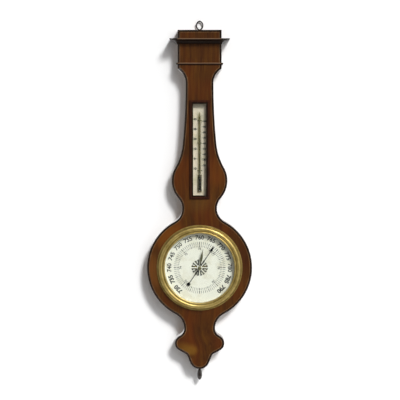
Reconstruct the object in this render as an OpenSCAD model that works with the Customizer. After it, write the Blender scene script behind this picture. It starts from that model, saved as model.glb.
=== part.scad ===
// Wall barometer with thermometer, in a banjo case, in millimetres.
// X runs to the right, Z runs up and the front faces -Y. The wall plane is y = 0 and the
// origin is the point on the wall that the hanging loop bears on.
// Forward distances from the wall are written h, so y = -h. Sizes ending in _drop are
// measured down from the origin.

/* [Case outline] */
// Width of the head block and of the straight part under it
head_w = 87.4; // [84:0.2:92]
// Top of the head block
head_drop = 17.3; // [16.5:0.1:18]
// Bottom of the head block's straight side, where the shoulder starts
shoulder_drop = 94.2; // [93:0.2:96]
// Where the shoulder has run into the neck
neck_drop = 122.6; // [119:0.2:125]
// Width of the neck
neck_w = 55; // [52:0.2:58]
// Radius of the neck's long outward sweep
flare_r = 1220; // [1100:10:1400]
// Where that sweep starts
flare_drop = 123; // [122.8:0.2:126]
// Radius of the bulge under the thermometer
bulge_r = 52.5; // [50:0.5:55]
// Width over the bulge
bulge_w = 111.2; // [108:0.2:114]
// Height of the bulge's widest place
bulge_drop = 317.1; // [315:0.1:319]
// Radius of the round body behind the dial
dial_body_r = 105.3; // [102:0.1:108]
// Height of the dial's centre
dial_drop = 492; // [490:0.5:494]
// Radius of the hollow corner over the bulge
bulge_fillet = 114; // [90:1:130]
// Radius of the waist between the bulge and the dial
waist_fillet = 31; // [28:0.5:34]
// Width of the lower waist
low_waist_w = 62; // [58:0.2:66]
// Radius of the hollow corner under the dial
low_fillet = 33; // [30:0.5:36]
// Radius of the hollow corner over each lobe
lobe_fillet = 16; // [14:0.5:17]
// Width over the two lobes
lobe_w = 99.4; // [96:0.2:102]
// Height of the lobes' widest place
lobe_drop = 645.2; // [643:0.2:647]
// Radius of a lobe's upper quarter
lobe_top_r = 17.4; // [16:0.2:19]
// Radius of a lobe's lower quarter
lobe_low_r = 15.6; // [14:0.2:17]
// How steeply a lobe's straight lower side falls, from level
lobe_fall = 28.6; // [26:0.2:32]
// How far the tongue's straight sides lean out, from upright
tongue_lean = 22.5; // [20:0.5:26]
// Radius of the hollow between a lobe and the tongue
tongue_fillet = 7; // [5:0.5:9]
// Radius of the tongue at the very bottom
tongue_r = 20; // [18:0.2:22]
// Height of the tongue's centre
tongue_drop = 677.2; // [676:0.1:679]

/* [Case thickness] */
// Thickness of the carcass
body_d = 25; // [24:0.5:28]
// Width of the pale line let in beside the bead
stringing_w = 1; // [0.8:0.1:1.4]
// Thickness of the veneered front board
veneer_d = 2; // [1.6:0.1:2.4]
// Width of the dark bead round the front edge
bead_w = 4; // [3:0.1:5]
// How far the bead stands out of the front board
bead_rise = 1; // [0.6:0.1:1.6]

/* [Head mouldings] */
// Top of the cornice
cornice_drop = 34.9; // [32:0.1:36]
// How far the cornice reaches past the block, to each side and to the front
cornice_reach = 16; // [14:0.5:20]
// Thickness of the cornice shelf
shelf_t = 1.9; // [1.6:0.1:2.6]
// How far the hollow moulding under the shelf reaches past the block
cove_reach = 10.5; // [8:0.5:13]
// Height of that hollow moulding
cove_h = 8; // [6:0.5:10]
// Centre height of the astragal strip
astragal_drop = 84.2; // [82:0.2:87]
// Radius of the astragal
astragal_r = 1.7; // [1.5:0.1:2.4]
// How far the astragal's round centre stands off the block
astragal_reach = 1.4; // [1:0.1:2.4]

/* [Bezel and glass] */
// Radius of the bezel's flange
bezel_r = 86; // [85:0.5:88]
// Radius of the opening in front of the glass
bezel_open_r = 69.9; // [69.5:0.1:70.2]
// Radius of the bezel's main round
bezel_roll_r = 5; // [4.6:0.1:5.4]
// Thickness of the dial glass
glass_t = 2; // [1.6:0.1:2.2]
// Radius of the set knob
knob_r = 3.9; // [3.4:0.1:4.6]

/* [Dial and hands] */
// Radius of the pierced centre
pierced_r = 16.4; // [14:0.2:18]
// Number of openings in the pierced centre
pierced_count = 8; // [6:1:10]
// Length of the pressure hand from the centre to its point
hand_len = 52; // [46:1:56]
// Distance from the centre to the middle of the tail disc
hand_tail = 39.6; // [34:0.2:42]
// Where the pressure hand points, clockwise from the top
hand_angle = 33.8; // [-130:0.2:130]
// Length of the set hand
set_len = 39.5; // [34:0.5:44]
// Where the set hand points, clockwise from the top
set_angle = 10.3; // [-180:0.1:180]

/* [Thermometer] */
// Outer width of the frame
frame_w = 40.6; // [39.8:0.2:42]
// Outer height of the frame
frame_h = 197; // [195:0.2:199]
// Height of the frame's centre
frame_drop = 255.2; // [253:0.1:258]
// Width of a frame rail
rail_w = 4.2; // [3.6:0.1:4.6]
// How far the frame stands out of the front board
rail_rise = 3.6; // [3:0.1:5]
// Radius of the glass tube
tube_r = 2.25; // [2:0.05:2.4]
// Radius of the bulb
bulb_r = 3.5; // [3.2:0.1:3.6]
// Where the tube's tip starts
tube_drop = 180; // [177:1:183]
// Where the bulb starts
bulb_drop = 307; // [305:0.5:308.5]
// Length of the bulb
bulb_len = 32.5; // [30:0.5:34]
// Where the liquid stands in the tube
reading_drop = 263; // [191:1:297]

/* [Movement] */
// Radius of the vacuum capsule
capsule_r = 26.7; // [25:0.1:27.5]
// Number of ridges on each diaphragm
ridges = 4; // [3:1:5]
// Number of turns of the hairspring
hairspring_turns = 5; // [3:1:6]
// Number of links in the chain's straight run
chain_links = 17; // [15:1:18]

/* [Hanger and finial] */
// Thickness of the hanging loop's wire
loop_wire = 2.6; // [2.2:0.1:2.8]
// Width over the hanging loop
loop_w = 15.4; // [14:0.2:18]
// Height over the hanging loop's eye
loop_h = 20.2; // [18:0.2:22]
// Length of the finial below the case
finial_len = 24; // [21:0.5:26]
// Largest radius of the finial
finial_r = 5; // [4.4:0.1:6]

/* [Hidden] */
$fn = 72;

// Small play of a turning or pressed fit, on the radius
play = 0.05;
// Overshoot of a cutting shape past the face that it opens
over = 1;
front_h = body_d + veneer_d;
head_x = head_w / 2;
dial_z = -dial_drop;
deep_z = -frame_drop;

// Colours, as the photograph shows them
walnut = "#5a371a";
walnut_dark = "#3a2313";
ebony = "#1d1510";
pale_wood = "#8a6a48";
brass = "#a08842";
steel = "#8f9296";
blued = "#23262c";
enamel = "#ebede0";
silvered = "#b9b7a8";
iron = "#4a443c";
pale_glass = "#c8d6d2";

// Heights of the dial unit's layers, forward from the wall
drum_back_h = 2;
drum_t = 0.8;
drum_r = 72;
plate_h = drum_back_h + drum_t;
plate_t = 1.5;
work_h = plate_h + plate_t;
dial_h = 24;
dial_t = 1;
glass_h = 31;
hand_h = 26.4;
hand_t = 0.6;
set_h = 29.2;

// Outline of the case, seen from the front as x and z
function polar(r, a) = [r * cos(a), r * sin(a)];
function turn_of(a) = a < 0 ? a + 360 : a;
function bearing(from, to) = atan2(to[1] - from[1], to[0] - from[0]);
function arc(c, r, a0, a1, step = 5) =
    let (n = max(1, ceil(abs(a1 - a0) / step)))
    [for (i = [0:n]) c + polar(r, a0 + (a1 - a0) * i / n)];
// Point at distance r1 from c1 and r2 from c2, on the left or right of the way from c1 to c2
function meet(c1, r1, c2, r2, side) =
    let (
        d = norm(c2 - c1),
        u = (c2 - c1) / d,
        along = (r1 * r1 - r2 * r2 + d * d) / (2 * d),
        off = sqrt(r1 * r1 - along * along)
    )
    c1 + along * u + side * off * [-u[1], u[0]];

neck_x = neck_w / 2;
shoulder_r = (pow(head_x - neck_x, 2) + pow(neck_drop - shoulder_drop, 2)) / (head_w - neck_w);
shoulder_c = [neck_x + shoulder_r, -neck_drop];
flare_c = [neck_x + flare_r, -flare_drop];
bulge_c = [bulge_w / 2 - bulge_r, -bulge_drop];
over_bulge_c = meet(flare_c, flare_r - bulge_fillet, bulge_c, bulge_r + bulge_fillet, -1);
dial_c = [0, dial_z];
waist_c = meet(bulge_c, bulge_r + waist_fillet, dial_c, dial_body_r + waist_fillet, 1);
low_waist_x = low_waist_w / 2;
under_dial_x = low_waist_x + low_fillet;
under_dial_c = [
    under_dial_x,
    dial_z - sqrt(pow(dial_body_r + low_fillet, 2) - pow(under_dial_x, 2))
];
lobe_top_c = [lobe_w / 2 - lobe_top_r, -lobe_drop];
lobe_low_c = [lobe_w / 2 - lobe_low_r, -lobe_drop];
over_lobe_x = low_waist_x + lobe_fillet;
over_lobe_c = [
    over_lobe_x,
    -lobe_drop + sqrt(pow(lobe_fillet + lobe_top_r, 2) - pow(over_lobe_x - lobe_top_c[0], 2))
];
tongue_c = [0, -tongue_drop];
// Centre of the hollow that runs into a lobe's lower side and the tongue's side
under_lobe_c =
    let (
        flank = polar(1, lobe_fall - 90),
        side = polar(1, -tongue_lean),
        from_flank = lobe_low_c * flank + lobe_low_r + tongue_fillet,
        from_side = tongue_c * side + tongue_r + tongue_fillet
    )
    [from_flank * side[1] - from_side * flank[1], from_side * flank[0] - from_flank * side[0]]
        / (flank[0] * side[1] - flank[1] * side[0]);

// Arcs down the right side, each as centre, radius, first and last angle, and step
half_arcs = [
    [shoulder_c, shoulder_r, bearing(shoulder_c, [head_x, -shoulder_drop]), 180, 9],
    [flare_c, flare_r, 180, turn_of(bearing(flare_c, over_bulge_c)), 1.6],
    [over_bulge_c, bulge_fillet,
        turn_of(bearing(flare_c, over_bulge_c)), turn_of(bearing(over_bulge_c, bulge_c)), 5],
    [bulge_c, bulge_r, bearing(bulge_c, over_bulge_c), bearing(bulge_c, waist_c), 5],
    [waist_c, waist_fillet,
        bearing(waist_c, bulge_c), turn_of(bearing(waist_c, dial_c)), 7],
    [dial_c, dial_body_r, bearing(dial_c, waist_c), bearing(dial_c, under_dial_c), 3.5],
    [under_dial_c, low_fillet, bearing(under_dial_c, dial_c), 180, 7],
    [over_lobe_c, lobe_fillet, 180, turn_of(bearing(over_lobe_c, lobe_top_c)), 9],
    [lobe_top_c, lobe_top_r, bearing(lobe_top_c, over_lobe_c), 0, 8],
    [lobe_low_c, lobe_low_r, 0, lobe_fall - 90, 9],
    [under_lobe_c, tongue_fillet, lobe_fall + 90, 180 - tongue_lean, 10],
    [tongue_c, tongue_r, -tongue_lean, -90, 7]
];
half_outline = concat(
    [[head_x, -head_drop]],
    [for (a = half_arcs) each arc(a[0], a[1], a[2], a[3], a[4])]
);
// Where two arcs share an end point, it is kept once
function thin(p) = [for (i = [0:len(p) - 1]) if (i == 0 || norm(p[i] - p[i - 1]) > 0.02) p[i]];
right_side = thin(half_outline);
outline = concat(
    right_side,
    [for (i = [len(right_side) - 2:-1:0]) [-right_side[i][0], right_side[i][1]]]
);
corners = len(outline);

// Unit normal of the outline's edge from corner i, pointing into the wood
function edge_normal(i) =
    let (
        p = outline[(i + corners) % corners],
        q = outline[(i + 1) % corners],
        u = (q - p) / norm(q - p)
    )
    [u[1], -u[0]];
// Corner i moved into the wood by d, with a mitre
function inset_corner(i, d) =
    let (
        n = edge_normal(i - 1),
        m = edge_normal(i)
    )
    outline[i] + d * (n + m) / (1 + n * m);
function inset_outline(d) = [for (i = [0:corners - 1]) inset_corner(i, d)];

// A flat shape drawn in x and z, standing from h0 to h1 in front of the wall
module slab(h0, h1) {
    translate([0, -h0, 0])
        rotate([90, 0, 0])
            linear_extrude(h1 - h0)
                children();
}

// A profile of radius and h, turned about the dial's axis
module turned() {
    translate([0, 0, dial_z])
        rotate([90, 0, 0])
            rotate_extrude()
                children();
}

// A post of radius r from h0 to h1, at x and z
module post(r, h0, h1, at = [0, 0]) {
    translate([at[0], -h0, at[1]])
        rotate([90, 0, 0])
            cylinder(r = r, h = h1 - h0);
}

// The same, placed from the dial's centre
module dial_post(r, h0, h1, at = [0, 0]) {
    post(r, h0, h1, [at[0], dial_z + at[1]]);
}

// A round bar along X between x0 and x1, at a distance v above the dial's centre
module cross_bar(r, x0, x1, v, h) {
    translate([x0, -h, dial_z + v])
        rotate([0, 90, 0])
            cylinder(r = r, h = x1 - x0);
}

// A block of the movement, from x0, h0 and v0 to x1, h1 and v1
module block(x, v, h) {
    translate([x[0], -h[1], dial_z + v[0]])
        cube([x[1] - x[0], h[1] - h[0], v[1] - v[0]]);
}

// A slotted screw whose head faces the wall
module back_screw(at, head_r, head_h, head_t, shank_r, shank_len) {
    difference() {
        union() {
            post(head_r, head_h, head_h + head_t, at);
            post(shank_r, head_h + head_t - 0.01, head_h + head_t + shank_len, at);
        }
        translate([at[0] - head_r - over, -head_h - head_t * 0.5, at[1] - head_r * 0.11])
            cube([2 * (head_r + over), head_t, head_r * 0.22]);
    }
}

// Case

glass_pocket = [frame_w - 2 * rail_w + 0.2, frame_h - 2 * rail_w + 0.2];
plate_pocket = glass_pocket - [5, 5];
tglass_h = front_h - 1.8;
pocket_h = tglass_h - 7.7;
rebate_r = 84;
rebate_d = 2;
bore_r = drum_r + 0.5;
hanger_pocket = [28, 46, 4.4];
hanger_z = -head_drop - 4;
peg_r = 1.6;
peg_len = 8;
finial_h = 14;

module rectangle(size, z) {
    translate([-size[0] / 2, z - size[1] / 2])
        square(size);
}

module case_body() {
    color(walnut)
        difference() {
            slab(0, body_d)
                polygon(outline);
            dial_post(bore_r, -over, body_d + over);
            dial_post(rebate_r, -over, rebate_d);
            slab(tglass_h, body_d + over)
                rectangle(glass_pocket, deep_z);
            slab(pocket_h, body_d + over)
                rectangle(plate_pocket, deep_z);
            slab(-over, hanger_pocket[2])
                rectangle([hanger_pocket[0], hanger_pocket[1]], hanger_z - hanger_pocket[1] / 2);
            slab(-over, hanger_pocket[2])
                rectangle([3 * loop_wire, 10], -head_drop);
            for (at = hanger_screw_places)
                post(hanger_shank_r + play, 0, 14, at);
            for (a = clip_angles)
                dial_post(clip_shank_r + play, 0, 12, polar(clip_screw_at, a));
            translate([0, -finial_h, -tongue_drop - tongue_r - over])
                cylinder(r = peg_r + play, h = peg_len + over + 0.5);
        }
}

stringing_t = 0.6;

module front_board() {
    color(walnut)
        difference() {
            union() {
                slab(body_d, front_h - stringing_t)
                    polygon(inset_outline(bead_w));
                slab(front_h - stringing_t - 0.01, front_h)
                    polygon(inset_outline(bead_w + stringing_w));
            }
            dial_post(bore_r, body_d - over, front_h + over);
            slab(body_d - over, front_h + over)
                rectangle(glass_pocket, deep_z);
        }
}

// Section of the bead, as distance into the wood and height
bead_section = [
    [0, body_d],
    [0, front_h - bead_rise * 0.8],
    [bead_w * 0.11, front_h + bead_rise * 0.35],
    [bead_w * 0.32, front_h + bead_rise * 0.93],
    [bead_w * 0.55, front_h + bead_rise],
    [bead_w * 0.82, front_h + bead_rise * 0.62],
    [bead_w, front_h],
    [bead_w, body_d]
];

module edge_bead() {
    n = len(bead_section);
    points = [
        for (i = [0:corners - 1])
            for (s = bead_section)
                let (p = inset_corner(i, s[0]))
                    [p[0], -s[1], p[1]]
    ];
    function at(i, j) = (i % corners) * n + j % n;
    faces = [
        for (i = [0:corners - 1])
            for (j = [0:n - 1])
                for (half = [0, 1])
                    half == 0
                        ? [at(i, j), at(i, j + 1), at(i + 1, j + 1)]
                        : [at(i, j), at(i + 1, j + 1), at(i + 1, j)]
    ];
    color(ebony)
        polyhedron(points, faces);
}

// A thin pale line of wood, flush with the front beside the bead
module edge_stringing() {
    color(pale_wood)
        slab(front_h - stringing_t, front_h)
            difference() {
                polygon(inset_outline(bead_w));
                polygon(inset_outline(bead_w + stringing_w));
            }
}

// A moulding round the front and both sides of the head. Its section is drawn as distance
// from the block and height z, and its corners are mitred.
module head_moulding(section, reach) {
    far = reach + over;
    difference() {
        union() {
            intersection() {
                translate([-head_x - far, -front_h, 0])
                    rotate([90, 0, 90])
                        linear_extrude(head_w + 2 * far)
                            mirror([1, 0])
                                polygon(section);
                linear_extrude(1000, center = true)
                    polygon([
                        [-head_x, -front_h], [head_x, -front_h],
                        [head_x + far, -front_h - far], [-head_x - far, -front_h - far]
                    ]);
            }
            for (side = [0, 1])
                mirror([side, 0, 0])
                    intersection() {
                        translate([head_x, 0, 0])
                            rotate([90, 0, 0])
                                linear_extrude(front_h + far)
                                    polygon(section);
                        linear_extrude(1000, center = true)
                            polygon([
                                [head_x, 0], [head_x, -front_h],
                                [head_x + far, -front_h - far], [head_x + far, 0]
                            ]);
                    }
        }
        // Room for the bead that runs on behind the moulding
        for (side = [0, 1])
            mirror([side, 0, 0])
                translate([head_x - bead_w - 0.2, -front_h - bead_rise - 0.1, -200])
                    cube([bead_w + 0.2, bead_rise + 0.1 + 0.01, 200]);
    }
}

module cornice_shelf() {
    z = -cornice_drop;
    color(walnut_dark)
        head_moulding([
            [0, z - shelf_t], [cornice_reach - 0.5, z - shelf_t],
            [cornice_reach, z - shelf_t * 0.6], [cornice_reach, z - shelf_t * 0.25],
            [cornice_reach - 0.5, z], [0, z]
        ], cornice_reach);
}

module cornice_cove() {
    z = -cornice_drop - shelf_t;
    reach = cove_reach;
    lip = 0.8;
    foot = 1.6;
    hollow = [
        for (a = [0:11.25:90])
            [reach - (reach - foot) * sin(a), z - lip - (cove_h - 2 * lip) * (1 - cos(a))]
    ];
    color(ebony)
        head_moulding(concat([[0, z], [reach, z]], hollow, [[foot, z - cove_h], [0, z - cove_h]]),
            reach);
}

module astragal() {
    steps = 10;
    color(walnut_dark)
        head_moulding(concat(
            [[0, -astragal_drop - astragal_r]],
            [for (i = [0:steps])
                let (a = -90 + 180 * i / steps)
                [astragal_reach + astragal_r * cos(a), -astragal_drop + astragal_r * sin(a)]],
            [[0, -astragal_drop + astragal_r]]
        ), astragal_reach + astragal_r);
}

module finial() {
    top = -tongue_drop - tongue_r;
    collar_r = 2.8;
    neck_r = 1.9;
    // The drop swells over its upper half and closes faster below
    upper = finial_len * 0.525;
    lower = finial_len * 0.425;
    widest = lower - finial_len;
    color(ebony)
        translate([0, -finial_h, top])
            rotate_extrude()
                polygon(concat(
                    [[0, peg_len], [peg_r, peg_len], [peg_r, 0], [collar_r * 0.9, 0],
                     [collar_r, -0.3], [collar_r, -0.8], [neck_r, -1.2]],
                    [for (a = [66:-11:0]) [finial_r * cos(a), widest + upper * sin(a)]],
                    [for (a = [-10:-10:-90]) [finial_r * cos(a), widest + lower * sin(a)]]
                ));
}

// Hanger

hanger_t = 1.2;
hanger_back_h = 0.6;
loop_h_mid = hanger_back_h + hanger_t + loop_wire / 2;
hanger_shank_r = 1.3;
hanger_plate_w = 24;
hanger_plate_h = 40;
hanger_screw_places = [
    for (sx = [-1, 1])
        for (k = [0, 1])
            [sx * (hanger_plate_w / 2 - 4), hanger_z - 8 - k * (hanger_plate_h - 16)]
];

module hanger_plate() {
    color(iron)
        difference() {
            slab(hanger_back_h, hanger_back_h + hanger_t)
                rectangle([hanger_plate_w, hanger_plate_h], hanger_z - hanger_plate_h / 2 - 1);
            for (at = hanger_screw_places)
                post(hanger_shank_r + play, -over, hanger_back_h + hanger_t + over, at);
        }
}

module hanger_screws() {
    color(steel)
        for (at = hanger_screw_places)
            back_screw(at, 2.3, 0.05, hanger_back_h - 0.06, hanger_shank_r,
                hanger_t + hanger_pocket[2] + 4);
}

// The eye's two sides are arcs of one radius, which meet in a point above and below
eye_x = (loop_w - loop_wire) / 2;
eye_z = (loop_h - loop_wire) / 2;
eye_r = (eye_x * eye_x + eye_z * eye_z) / (2 * eye_x);
eye_half = asin(eye_z / eye_r);
eye_mid_z = loop_wire / 2 + 0.1 - eye_z;

module hanging_loop() {
    wire_r = loop_wire / 2;
    color(iron)
        translate([0, -loop_h_mid, eye_mid_z]) {
            for (side = [0, 1])
                mirror([side, 0, 0])
                    translate([eye_x - eye_r, 0, 0])
                        rotate([90, 0, 0])
                            rotate([0, 0, -eye_half])
                                rotate_extrude(angle = 2 * eye_half)
                                    translate([eye_r, 0])
                                        circle(wire_r);
            for (end = [-1, 1])
                translate([0, 0, end * eye_z])
                    sphere(wire_r);
            translate([0, 0, -eye_z - 20])
                cylinder(r = wire_r, h = 20);
            translate([-4, -wire_r, -eye_z - 24])
                cube([8, loop_wire, 6]);
        }
}

// Thermometer

module frame_ring(outer, inner) {
    difference() {
        rectangle(outer, deep_z);
        rectangle(inner, deep_z);
    }
}

frame_size = [frame_w, frame_h];
frame_open = frame_size - [2 * rail_w, 2 * rail_w];

module thermometer_frame() {
    mid = frame_size - [rail_w * 0.5, rail_w * 0.5];
    crown = frame_size - [rail_w, rail_w];
    color(walnut_dark)
        union() {
            slab(front_h, front_h + rail_rise * 0.5)
                frame_ring(frame_size, frame_open);
            slab(front_h + rail_rise * 0.5 - 0.01, front_h + rail_rise * 0.85)
                frame_ring(mid, frame_open + [0.3, 0.3]);
            slab(front_h + rail_rise * 0.85 - 0.01, front_h + rail_rise)
                frame_ring(crown, frame_open + [0.9, 0.9]);
        }
}

slip_w = 3.1;
slip_open = frame_open - [2 * slip_w, 2 * slip_w];
tglass_t = 2;

module frame_slip() {
    color(ebony)
        slab(tglass_h + tglass_t + 0.02, front_h + 1.6)
            frame_ring(frame_open - [0.1, 0.1], slip_open);
}

module thermometer_glass() {
    size = glass_pocket - [0.4, 0.4];
    bevel = 8.4;
    color(pale_glass, 0.5)
        translate([0, -tglass_h - 0.02, deep_z])
            hull() {
                translate([-size[0] / 2, -tglass_t * 0.45, -size[1] / 2])
                    cube([size[0], tglass_t * 0.45, size[1]]);
                translate([-size[0] / 2 + bevel, -tglass_t, -size[1] / 2 + bevel])
                    cube([size[0] - 2 * bevel, tglass_t, size[1] - 2 * bevel]);
            }
}

scale_t = 1.5;
tube_h = pocket_h + scale_t + tube_r + 0.05;

module scale_plate() {
    size = plate_pocket - [0.4, 0.4];
    color(enamel)
        difference() {
            slab(pocket_h + 0.02, pocket_h + scale_t)
                rectangle(size, deep_z);
            slab(pocket_h - over, pocket_h + scale_t + over)
                rectangle([2 * bulb_r + 1.2, bulb_len + 3], -bulb_drop - bulb_len / 2);
        }
}

tube_wall = 0.7;
bore_small_r = 0.6;

module thermometer_tube() {
    tip = 10;
    neck = 4;
    color(pale_glass, 0.5)
        translate([0, -tube_h, 0])
            rotate_extrude()
                polygon(concat(
                    [[0, -tube_drop], [0.5, -tube_drop], [tube_r, -tube_drop - tip],
                     [tube_r, -bulb_drop + neck], [tube_r * 0.62, -bulb_drop + 0.4 * neck],
                     [bulb_r * 0.8, -bulb_drop - 0.5]],
                    [for (a = [20:-20:-80])
                        let (end = a > 0 ? -bulb_drop - bulb_r : -bulb_drop - bulb_len + bulb_r)
                        [bulb_r * cos(a), end + bulb_r * sin(a)]],
                    [[0, -bulb_drop - bulb_len]],
                    [for (a = [-90:18:0])
                        [(bulb_r - tube_wall) * cos(a),
                         -bulb_drop - bulb_len + bulb_r + (bulb_r - tube_wall) * sin(a)]],
                    [[bulb_r - tube_wall, -bulb_drop - bulb_r], [bore_small_r, -bulb_drop - 0.8],
                     [bore_small_r, -tube_drop - tip], [0, -tube_drop - tip + 1]]
                ));
}

module thermometer_liquid() {
    r = bulb_r - tube_wall - play;
    color(blued)
        translate([0, -tube_h, 0])
            rotate_extrude()
                polygon(concat(
                    [for (a = [-90:18:0])
                        [r * cos(a), -bulb_drop - bulb_len + bulb_r + r * sin(a)]],
                    [[r, -bulb_drop - bulb_r - 0.1], [bore_small_r - play, -bulb_drop - 1],
                     [bore_small_r - play, -reading_drop], [0, -reading_drop]]
                ));
}

module tube_clips() {
    clip_r = tube_r + 0.5;
    clip_w = 1.6;
    foot = 1.8;
    foot_t = 0.6;
    seat_h = pocket_h + scale_t + 0.02;
    reach_x = clip_r + foot;
    color(brass)
        for (drop = [tube_drop + 17, tube_drop + 62, bulb_drop - 10])
            translate([0, 0, -drop - clip_w / 2])
                difference() {
                    union() {
                        translate([0, -tube_h, 0])
                            cylinder(r = clip_r, h = clip_w);
                        translate([-clip_r, -tube_h, 0])
                            cube([2 * clip_r, tube_h - seat_h, clip_w]);
                        translate([-reach_x, -seat_h - foot_t, 0])
                            cube([2 * reach_x, foot_t, clip_w]);
                    }
                    translate([0, -tube_h, -over])
                        cylinder(r = tube_r + play, h = clip_w + 2 * over);
                    translate([-tube_r - play, -tube_h, -over])
                        cube([2 * (tube_r + play), tube_h, clip_w + 2 * over]);
                    translate([-reach_x, -seat_h, -over])
                        cube([2 * reach_x, seat_h, clip_w + 2 * over]);
                }
}

// Bezel, glass and set hand

bezel_h = front_h;
roll_c = [bezel_r - 8.2, bezel_h + 4.4];
inner_roll_r = 1.9;
inner_roll_c = [bezel_open_r + inner_roll_r, glass_h + glass_t + 1.6];
seat_r = 71.3;

module bezel() {
    color(brass)
        turned()
            polygon(concat(
                [[drum_r + 0.15, bezel_h], [bezel_r, bezel_h], [bezel_r, bezel_h + 1.1],
                 [bezel_r - 0.4, bezel_h + 1.5], [bezel_r - 1.7, bezel_h + 1.6],
                 [bezel_r - 2.3, bezel_h + 1.0], [bezel_r - 3.0, bezel_h + 1.0]],
                arc(roll_c, bezel_roll_r, -18, 148, 8),
                arc(inner_roll_c, inner_roll_r, 40, 180, 12),
                [[bezel_open_r, glass_h + glass_t], [seat_r, glass_h + glass_t],
                 [seat_r, glass_h - 1.4], [drum_r + 0.15, glass_h - 1.4]]
            ));
}

module dial_glass() {
    bevel = 0.5;
    color(pale_glass, 0.4)
        turned()
            polygon([
                [bush_r + play, glass_h], [seat_r - 0.2, glass_h],
                [seat_r - 0.2, glass_h + glass_t - bevel],
                [seat_r - 0.2 - bevel, glass_h + glass_t - 0.02],
                [bush_r + play, glass_h + glass_t - 0.02]
            ]);
}

module glass_ring() {
    gap = 12;
    color(brass)
        translate([0, 0, dial_z])
            rotate([90, 0, 0])
                rotate([0, 0, -90 + gap / 2])
                    rotate_extrude(angle = 360 - gap)
                        translate([seat_r - 0.62, glass_h - 0.56])
                            circle(0.54);
}

bush_r = 2.5;
stem_r = 1.5;

module glass_bush() {
    t = 0.4;
    flange = bush_r + 0.9;
    color(brass)
        turned()
            polygon([
                [stem_r + play, glass_h - t], [flange, glass_h - t], [flange, glass_h - 0.02],
                [bush_r, glass_h - 0.02], [bush_r, glass_h + glass_t],
                [flange, glass_h + glass_t], [flange, glass_h + glass_t + t],
                [stem_r + play, glass_h + glass_t + t]
            ]);
}

knob_h = glass_h + glass_t + 0.7;
knob_len = 4.6;

module set_knob() {
    grips = 20;
    color(brass)
        difference() {
            turned()
                polygon(concat(
                    [[0, set_h - 0.4], [stem_r, set_h - 0.4], [stem_r, knob_h],
                     [knob_r * 0.62, knob_h], [knob_r * 0.62, knob_h + 0.7], [knob_r, knob_h + 1.3],
                     [knob_r, knob_h + knob_len - 1.4]],
                    arc([knob_r - 1.2, knob_h + knob_len - 1.4], 1.2, 15, 90, 15),
                    [[0, knob_h + knob_len + 0.05]]
                ));
            for (i = [0:grips - 1])
                dial_post(0.25, knob_h + 1, knob_h + knob_len - 0.9, polar(knob_r + 0.06,
                    i * 360 / grips));
        }
}

// Half of the set hand's leaf, as half width and distance from the centre
set_leaf = [
    [0.75, 2.6], [0.6, 10.5], [0.95, 13.2], [1.75, 16.6], [2.6, 20.2], [2.35, 23.2],
    [1.55, 27], [0.95, 31], [0.45, 35.6], [0.12, 39.5]
];

module mirrored_leaf(half, scale_len) {
    polygon(concat(
        [for (p = half) [p[0], p[1] * scale_len]],
        [for (i = [len(half) - 1:-1:0]) [-half[i][0], half[i][1] * scale_len]]
    ));
}

// A hand's flat shape, drawn pointing up, turned clockwise and put in front of the dial
module hand_plate(angle, h0, h1) {
    translate([0, 0, dial_z])
        rotate([0, angle, 0])
            slab(h0, h1)
                children();
}

module set_hand() {
    color(brass)
        difference() {
            union() {
                hand_plate(set_angle, set_h, set_h + hand_t)
                    mirrored_leaf(set_leaf, set_len / 39.5);
                dial_post(3.1, set_h, set_h + hand_t);
            }
            dial_post(stem_r + 0.02, set_h - over, set_h + hand_t + over);
        }
}

module set_washer() {
    color(steel)
        difference() {
            dial_post(2.9, set_h + hand_t + 0.05, glass_h - 0.55);
            dial_post(stem_r + play, set_h, glass_h);
        }
}

// Drum and dial

clip_angles = [30, 150, 270];
clip_screw_at = 79;
clip_shank_r = 1.2;
clip_t = 1;
foot_angles = [90, 210, 330];
foot_at = 60;
base_screw_angles = [60, 180, 300];
base_screw_at = 41;
base_screw_r = 1.2;
adjust_at = [0, -41.5];
adjust_r = 1.5;

module movement_drum() {
    color(brass)
        difference() {
            turned()
                polygon([
                    [0, drum_back_h], [drum_r - 1, drum_back_h], [drum_r, drum_back_h + 1],
                    [drum_r, glass_h - 1.6], [drum_r - drum_t, glass_h - 1.6],
                    [drum_r - drum_t, drum_back_h + 1.2], [drum_r - 1.2, plate_h], [0, plate_h]
                ]);
            for (a = base_screw_angles)
                dial_post(base_screw_r + play, 0, plate_h + over, polar(base_screw_at, a));
            dial_post(3.4, 0, plate_h + over, adjust_at);
        }
}

module drum_clips() {
    color(brass)
        for (a = clip_angles)
            difference() {
                translate([0, 0, dial_z])
                    rotate([0, -a, 0])
                        slab(rebate_d - clip_t, rebate_d - 0.02)
                            union() {
                                translate([66, -4])
                                    square([clip_screw_at - 66, 8]);
                                translate([clip_screw_at, 0])
                                    circle(4);
                            }
                dial_post(clip_shank_r + play, -over, 5, polar(clip_screw_at, a));
            }
}

module drum_screws() {
    color(steel)
        for (a = clip_angles)
            back_screw([0, dial_z] + polar(clip_screw_at, a), 2.3, 0.15,
                rebate_d - clip_t - 0.17, clip_shank_r, clip_t + 9);
}

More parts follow.
